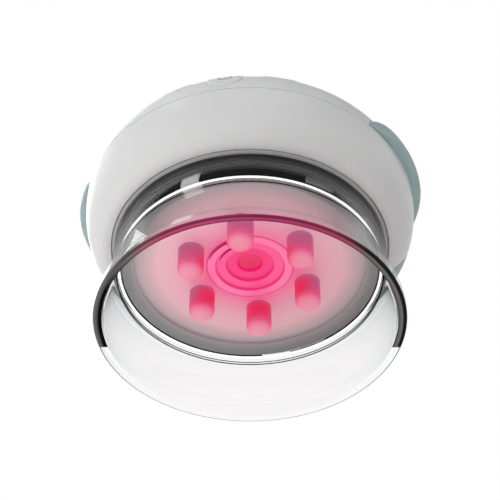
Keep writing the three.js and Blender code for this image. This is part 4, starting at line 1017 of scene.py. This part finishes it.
def build_port():
    """Suction port: three rings that step in and up to a well, with a stem for the air tube."""
    outer, middle, inner = PORT_RADII
    low = PLATE_BOTTOM
    well = low + 2 * PORT_STEP + WELL_DEPTH
    outline = rounded([
        (AIR_BORE, well), (WELL_RADIUS, well), (WELL_RADIUS, low + 2 * PORT_STEP, 0.3),
        (inner, low + 2 * PORT_STEP), (inner, low + PORT_STEP, 0.25), (middle, low + PORT_STEP),
        (middle, low, 0.25), (outer, low, 0.25), (outer, PORT_FLANGE_BOTTOM),
        (PORT_FLANGE, PORT_FLANGE_BOTTOM), (PORT_FLANGE, PORT_FLANGE_TOP), (PORT_STEM, PORT_FLANGE_TOP),
        (PORT_STEM, PORT_STEM_TOP), (NIPPLE_RADIUS, PORT_STEM_TOP), (NIPPLE_RADIUS, NIPPLE_TOP),
        (AIR_BORE, NIPPLE_TOP),
    ])
    base = [(0, "#8E1846"), (14.2, "#A03464")]
    # The glow darkens in thin lines at each step of the rings: painted shade in the corners.
    glow = [(0, "#C40046"), (3.8, "#C60048"), (3.95, "#CC0C5A"), (4.15, "#D41468"), (4.5, "#D42068"),
            (7.3, "#D42469"), (7.5, "#C81C62"), (7.7, "#C81C62"), (7.95, "#DC4880"), (10.6, "#DC467E"),
            (10.85, "#C42A66"), (11.1, "#C42A66"), (11.4, "#DC6C96"), (13.6, "#D86892"), (13.85, "#AC2A62"),
            (14.2, "#B43069")]
    finish = lit_acrylic("lit_rose_acrylic", base, glow, 16.0, 0.3)
    # A darker copy of the same acrylic: painted shade for the tabs' walls, while their feet keep the lit
    # one.
    shaded = lit_acrylic("shaded_rose_acrylic", "#5A0C30", "#861040", 16.0, 0.3)
    # A raised tab on each of the two lower rings: inner and outer edge, foot, and its two ends in degrees.
    tabs = [(11.7, 13.7, low, 207, 246), (8.3, 10.1, low + PORT_STEP, 203, 248)]
    for i, (inner_edge, outer_edge, level, start, end) in enumerate(tabs):
        tab = sector(f"port_tab_{i + 1}", inner_edge, outer_edge, level - TAB_PROUD, level + TAB_SUNK,
                     start, end)
        edge = tab.modifiers.new("edge", "BEVEL")
        edge.width = TAB_EDGE * MM
        dress(carve(tab), finish, "body")
        tab.data.materials.append(shaded)
        for face in tab.data.polygons:
            face.material_index = 0 if face.normal.z < -0.5 else 1
    port = turned("suction_port_rings", outline, AROUND_PORT)
    dress(port, finish, "body", ["suction_port"])
    top = well - FILTER_GAP
    foot = top - FILTER_THICKNESS
    disc = turned("port_filter_disc", rounded([
        (0.0, top), (FILTER_RADIUS, top), (FILTER_RADIUS, foot, 0.3), (0.0, foot)]), AROUND_SMALL)
    dress(disc, finish, "body", ["port_filter"])


def cup_finish(face):
    """Which of the cup's finishes a face wears: a lug's, a step's, the rim's edge's or the wall's."""
    high, away = face.center.z / MM, math.hypot(face.center.x, face.center.y) / MM
    if LUG_BOTTOM - 0.1 < high < LUG_BOTTOM + LUG_HEIGHT + 0.1 and away < CUP_NECK_INNER - 0.02:
        return LUG_FINISH
    # Painted shade: the ledge's dark step finish goes on its level faces at the back and on those facing
    # down; the upper end gets it all round.
    level = abs(face.normal.z) > 0.3 and (face.center.y > 0 or face.normal.z < 0)
    on_step = level and LEDGE_BOTTOM - 0.1 < high < LEDGE_TOP + 0.1 and away < CUP_NECK_INNER
    if on_step or high > CUP_TOP - 0.4:
        return STEP_FINISH
    if high < 0.3 and face.normal.z < -0.3:
        return EDGE_FINISH
    return CLEAR_FINISH


def build_cup():
    """The clear cup: straight neck, flared wall, thick rounded rim and three bayonet lugs inside."""
    steps = 28
    outer, inner = [], []
    for i in range(steps + 1):
        share = i / steps
        radius = CUP_NECK_OUTER + CUP_FLARE * share ** FLARE_POWER
        height = CUP_DEPTH + (RIM_LIP_HEIGHT - CUP_DEPTH) * share
        wall = CUP_NECK_OUTER - CUP_NECK_INNER
        wall += (CUP_WALL - wall) * share
        outer.append((radius, height))
        if height < LEDGE_BOTTOM:
            inner.append((radius - wall, height))
    ledge = CUP_NECK_INNER - LEDGE_REACH
    neck = rounded([(CUP_NECK_INNER, LEDGE_BOTTOM), (ledge, LEDGE_BOTTOM, 0.1), (ledge, LEDGE_TOP, 0.1),
                    (CUP_NECK_INNER, LEDGE_TOP), (CUP_NECK_INNER, CUP_TOP, 0.3),
                    (CUP_NECK_OUTER, CUP_TOP, 0.3), (CUP_NECK_OUTER, CUP_DEPTH)])[:-1]
    lip_inner = RIM_RADIUS - RIM_LIP_WIDTH
    rim = rounded([(outer[-1][0], RIM_LIP_HEIGHT), (RIM_RADIUS, RIM_LIP_HEIGHT, 0.4),
                   (RIM_RADIUS, 0.0, RIM_ROUND), (lip_inner, 0.0, RIM_ROUND),
                   (lip_inner, RIM_LIP_HEIGHT)], 8)[1:-1]
    cup = turned("suction_cup_bell", neck + outer + rim + inner[::-1], AROUND_CUP)
    root = (CUP_NECK_INNER + CUP_NECK_OUTER) / 2
    for angle in LUG_ANGLES:
        carve(cup, sector("lug", CUP_NECK_INNER - LUG_REACH, root, LUG_BOTTOM, LUG_BOTTOM + LUG_HEIGHT,
                          angle - LUG_HALF_DEGREES, angle + LUG_HALF_DEGREES), how="UNION")
    dress(cup, clear_polycarbonate(), "cup", ["suction_cup"], crease=40)
    cup.data.materials.append(rim_edge_painted_glow())
    cup.data.materials.append(steps_painted_shade())
    cup.data.materials.append(milky_polycarbonate_painted_highlight)
    for face in cup.data.polygons:
        face.material_index = cup_finish(face)
    # Lamps shine through the clear wall, so it casts no shadow and takes no part in soft bounce light.
    cup.visible_shadow = False
    cup.visible_diffuse = False


def build_button(key):
    """A button's cap: it follows the dome, with a rounded edge, and has a flange and a stem below."""
    x, rise = BUTTONS[key]
    rings = [[on_dome(x, rise, BUTTON_PROUD)]]
    radii = [0.9 * i for i in range(1, 6)] + [BUTTON_RADIUS - BUTTON_ROUND * (1 - i / 6) for i in range(7)]
    for radius in radii:
        proud = BUTTON_PROUD - edge_drop(BUTTON_RADIUS - radius, BUTTON_ROUND)
        rings.append(round_about(x, rise, radius, lambda a, b: on_dome(a, b, proud)))
    for radius, level in ((BUTTON_RADIUS, FLANGE_LEVEL), (BUTTON_FLANGE, FLANGE_LEVEL),
                          (BUTTON_FLANGE, FLANGE_LEVEL - FLANGE_THICKNESS),
                          (STEM_RADIUS, FLANGE_LEVEL - FLANGE_THICKNESS), (STEM_RADIUS, STEM_END)):
        rings.append(round_about(x, rise, radius, lambda a, b: press_point(a, b, level)))
    rings.append([press_point(x, rise, STEM_END)])
    cap = stacked_rings(f"{key}_button_cap", rings)
    dress(cap, moulded_white_abs, f"{key}_button", [f"button_{key}"], crease=30)


def ink_ribbon(corners, faces, x, rise, line, closed):
    """Adds a thin printed line on a button, along points given from the button's middle."""
    count = len(line)
    first = len(corners)
    for i, (a, b) in enumerate(line):
        before = line[i - 1] if i > 0 or closed else line[i]
        after = line[(i + 1) % count] if i < count - 1 or closed else line[i]
        along = Vector((after[0] - before[0], after[1] - before[1])).normalized()
        side = Vector((-along.y, along.x)) * INK_WIDTH / 2
        for proud in (BUTTON_PROUD - INK_DEPTH, BUTTON_PROUD + INK_PROUD):
            for sign in (-1, 1):
                corners.append(on_dome(x + a + sign * side.x, rise + b + sign * side.y, proud))
    spans = count if closed else count - 1
    for i in range(spans):
        here, there = first + 4 * i, first + 4 * ((i + 1) % count)
        for p, q in ((0, 1), (1, 3), (3, 2), (2, 0)):
            faces.append((here + p, here + q, there + q, there + p))
    if not closed:
        faces.append((first, first + 1, first + 3, first + 2))
        last = first + 4 * (count - 1)
        faces.append((last, last + 1, last + 3, last + 2))


def build_icon(key, lines):
    """The printed sign on a button, from (points, closed) lines."""
    x, rise = BUTTONS[key]
    corners, faces = [], []
    for line, closed in lines:
        ink_ribbon(corners, faces, x, rise, line, closed)
    icon = make_piece(f"{key}_icon", corners, faces)
    dress(icon, printed_grey_ink, f"{key}_button")


def build_icons():
    """Generic signs: a power mark, a small lamp with rays, and waves drawn to a dot."""
    bar = [(0.0, 0.6 + 0.4 * i) for i in range(6)]
    build_icon("power", [(arc((0, 0), 2.2, 125, 415, 28), False), (bar, False)])
    rays = []
    for i in range(8):
        turn = math.pi / 4 * i
        rays.append(([(r * math.cos(turn), r * math.sin(turn)) for r in (1.75, 2.2, 2.6)], False))
    build_icon("light", [(arc((0, 0), 1.1, 0, 345, 23), True)] + rays)
    build_icon("suction", [(arc((0, -0.9), r, 35, 145, 14), False) for r in (1.2, 2.2, 3.2)]
               + [(arc((0, -1.2), 0.35, 0, 330, 11), True)])


def dress_inner_nodes():
    """Finishes for the CAD nodes that stay: boards, switches, battery, pump, valve, tube and screws."""
    worn = {
        solder_masked_board: ["port_board", "led_board", "switch_board", "main_board"],
        zinc_plated_steel: ["charging_socket", "pump_bracket", "pump_motor"]
        + [f"case_screw_{i}" for i in range(1, 6)],
        epoxy_lamp_lens: ["lamp_strip"],
        black_polyamide: ["switch_light", "switch_power", "switch_suction", "release_valve"],
        natural_nylon: ["battery_holder", "pump_head"],
        pvc_shrink_wrap: ["battery_cell"],
        cloudy_silicone: ["air_tube"],
    }
    for finish, names in worn.items():
        for name in names:
            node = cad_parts[name]
            node.data.materials.clear()
            node.data.materials.append(finish)


# Floor and light

def lay_floor():
    """A white paper floor, in metres.

    It is clear from below, where the camera is, and lets the lamp below it shine through.
    """
    half, level = 1.6, -0.0002
    mesh = bpy.data.meshes.new("paper_floor")
    corners = [(x, y, level) for x, y in ((-half, -half), (half, -half), (half, half), (-half, half))]
    mesh.from_pydata(corners, [], [(0, 1, 2, 3)])
    floor = bpy.data.objects.new("paper_floor", mesh)
    bpy.context.scene.collection.objects.link(floor)
    material, tree, shader, place = start_finish("matt_white_paper")
    fibres = add_node(tree, "TexNoise", {"Scale": 1 / (60 * MM), "Detail": 2.0}, {"Vector": place})
    tint = add_node(tree, "ValToRGB", links={"Fac": fibres.outputs["Fac"]})
    fill_ramp(tint, [(0.3, "#F1F1F0"), (0.7, "#F5F5F4")])
    tree.links.new(tint.outputs["Color"], shader.inputs["Base Color"])
    shader.inputs["Roughness"].default_value = 0.9
    # Away from the object the camera sees the paper as white as what is round it, so it has no horizon.
    path = add_node(tree, "LightPath")
    far = add_node(tree, "MapRange", {"From Min": 0.1, "From Max": 0.42},
                   {"Value": axis_distance(tree, place)})
    seen = add_node(tree, "Math", {"operation": "MULTIPLY"},
                    {0: far.outputs["Result"], 1: path.outputs["Is Camera Ray"]})
    white = add_node(tree, "Emission", {"Color": linear("#FFFFFF"), "Strength": 1.0})
    paper = add_node(tree, "MixShader",
                     links={0: seen.outputs[0], 1: shader.outputs[0], 2: white.outputs[0]})
    clear = add_node(tree, "BsdfTransparent")
    below = add_node(tree, "NewGeometry").outputs["Backfacing"]
    rays = add_node(tree, "Math", {"operation": "MAXIMUM"},
                    {0: path.outputs["Is Shadow Ray"], 1: path.outputs["Is Glossy Ray"]})
    either = add_node(tree, "Math", {"operation": "MAXIMUM"}, {0: below, 1: rays.outputs[0]})
    sheet = add_node(tree, "MixShader",
                     links={0: either.outputs[0], 1: paper.outputs[0], 2: clear.outputs[0]})
    tree.links.new(sheet.outputs[0], sheet_output(tree).inputs["Surface"])
    mesh.materials.append(material)


def light_studio():
    """Soft light from the left, with a white surround for the camera and for clear and shiny surfaces."""
    world = bpy.data.worlds.new("white_studio")
    bpy.context.scene.world = world
    world.use_nodes = True
    tree = world.node_tree
    tree.nodes.clear()
    path = add_node(tree, "LightPath")
    # A dark studio ceiling in front: shiny and clear surfaces pick it up, and nothing else sees it.
    towards = add_node(tree, "TexCoord").outputs["Generated"]
    away = add_node(tree, "VectorMath", {"operation": "DOT_PRODUCT", 1: (0.0, 0.5, -0.85)}, {0: towards})
    ceiling = add_node(tree, "MapRange",
                       {"From Min": -0.66, "From Max": -0.38, "To Min": 0.04, "To Max": 1.0},
                       {"Value": away.outputs["Value"]})
    bent = add_node(tree, "Math", {"operation": "MAXIMUM"},
                    {0: path.outputs["Is Transmission Ray"], 1: path.outputs["Is Glossy Ray"]})
    soft = add_node(tree, "Background", {"Color": linear("#FFFFFF"), "Strength": 0.02})
    around = add_node(tree, "Background", {"Color": linear("#FFFFFF")},
                      {"Strength": ceiling.outputs["Result"]})
    white = add_node(tree, "Background", {"Color": linear("#FFFFFF"), "Strength": 1.0})
    both = add_node(tree, "MixShader", links={0: bent.outputs[0], 1: soft.outputs[0], 2: around.outputs[0]})
    both = add_node(tree, "MixShader", links={0: path.outputs["Is Camera Ray"], 1: both.outputs[0],
                                              2: white.outputs[0]})
    add_node(tree, "OutputWorld", links={"Surface": both.outputs[0]})
    hang_lamp("over_left", (-0.73, 0.16, 0.67), 1.3, 0.7, 0.39, mirrored=False)
    hang_lamp("soft_key", (-0.80, -0.57, 0.17), 1.1, 0.7, 0.27, mirrored=False)
    hang_lamp("over_front", (0.31, -0.68, 0.67), 1.3, 0.7, 0.375, mirrored=False)
    hang_lamp("over_top", (-0.2, 0.1, 0.97), 1.3, 0.7, 0.29, mirrored=False)
    hang_lamp("window", (-0.46, -0.49, 0.74), 1.3, 0.26, 0.045)
    hang_lamp("white_card", (-0.46, 0.47, 0.76), 1.3, 0.66, 0.18, lights=False)
    hang_lamp("low_back", (0.06, 0.41, -0.91), 1.2, 0.8, 0.09)


place_camera()
light_studio()
lay_floor()

build_upper_shell()
build_lower_shell()
build_seat_ring()
for name, degrees in GRIP_TURNS.items():
    build_grip(name, degrees)
build_rear_pad()
build_flap()

build_neck()
build_bead()
build_seal()
build_bezel()
build_plate()
build_posts()
build_port()
build_cup()

for key in BUTTONS:
    build_button(key)
build_icons()
dress_inner_nodes()

bpy.context.scene.view_settings.view_transform = "Standard"
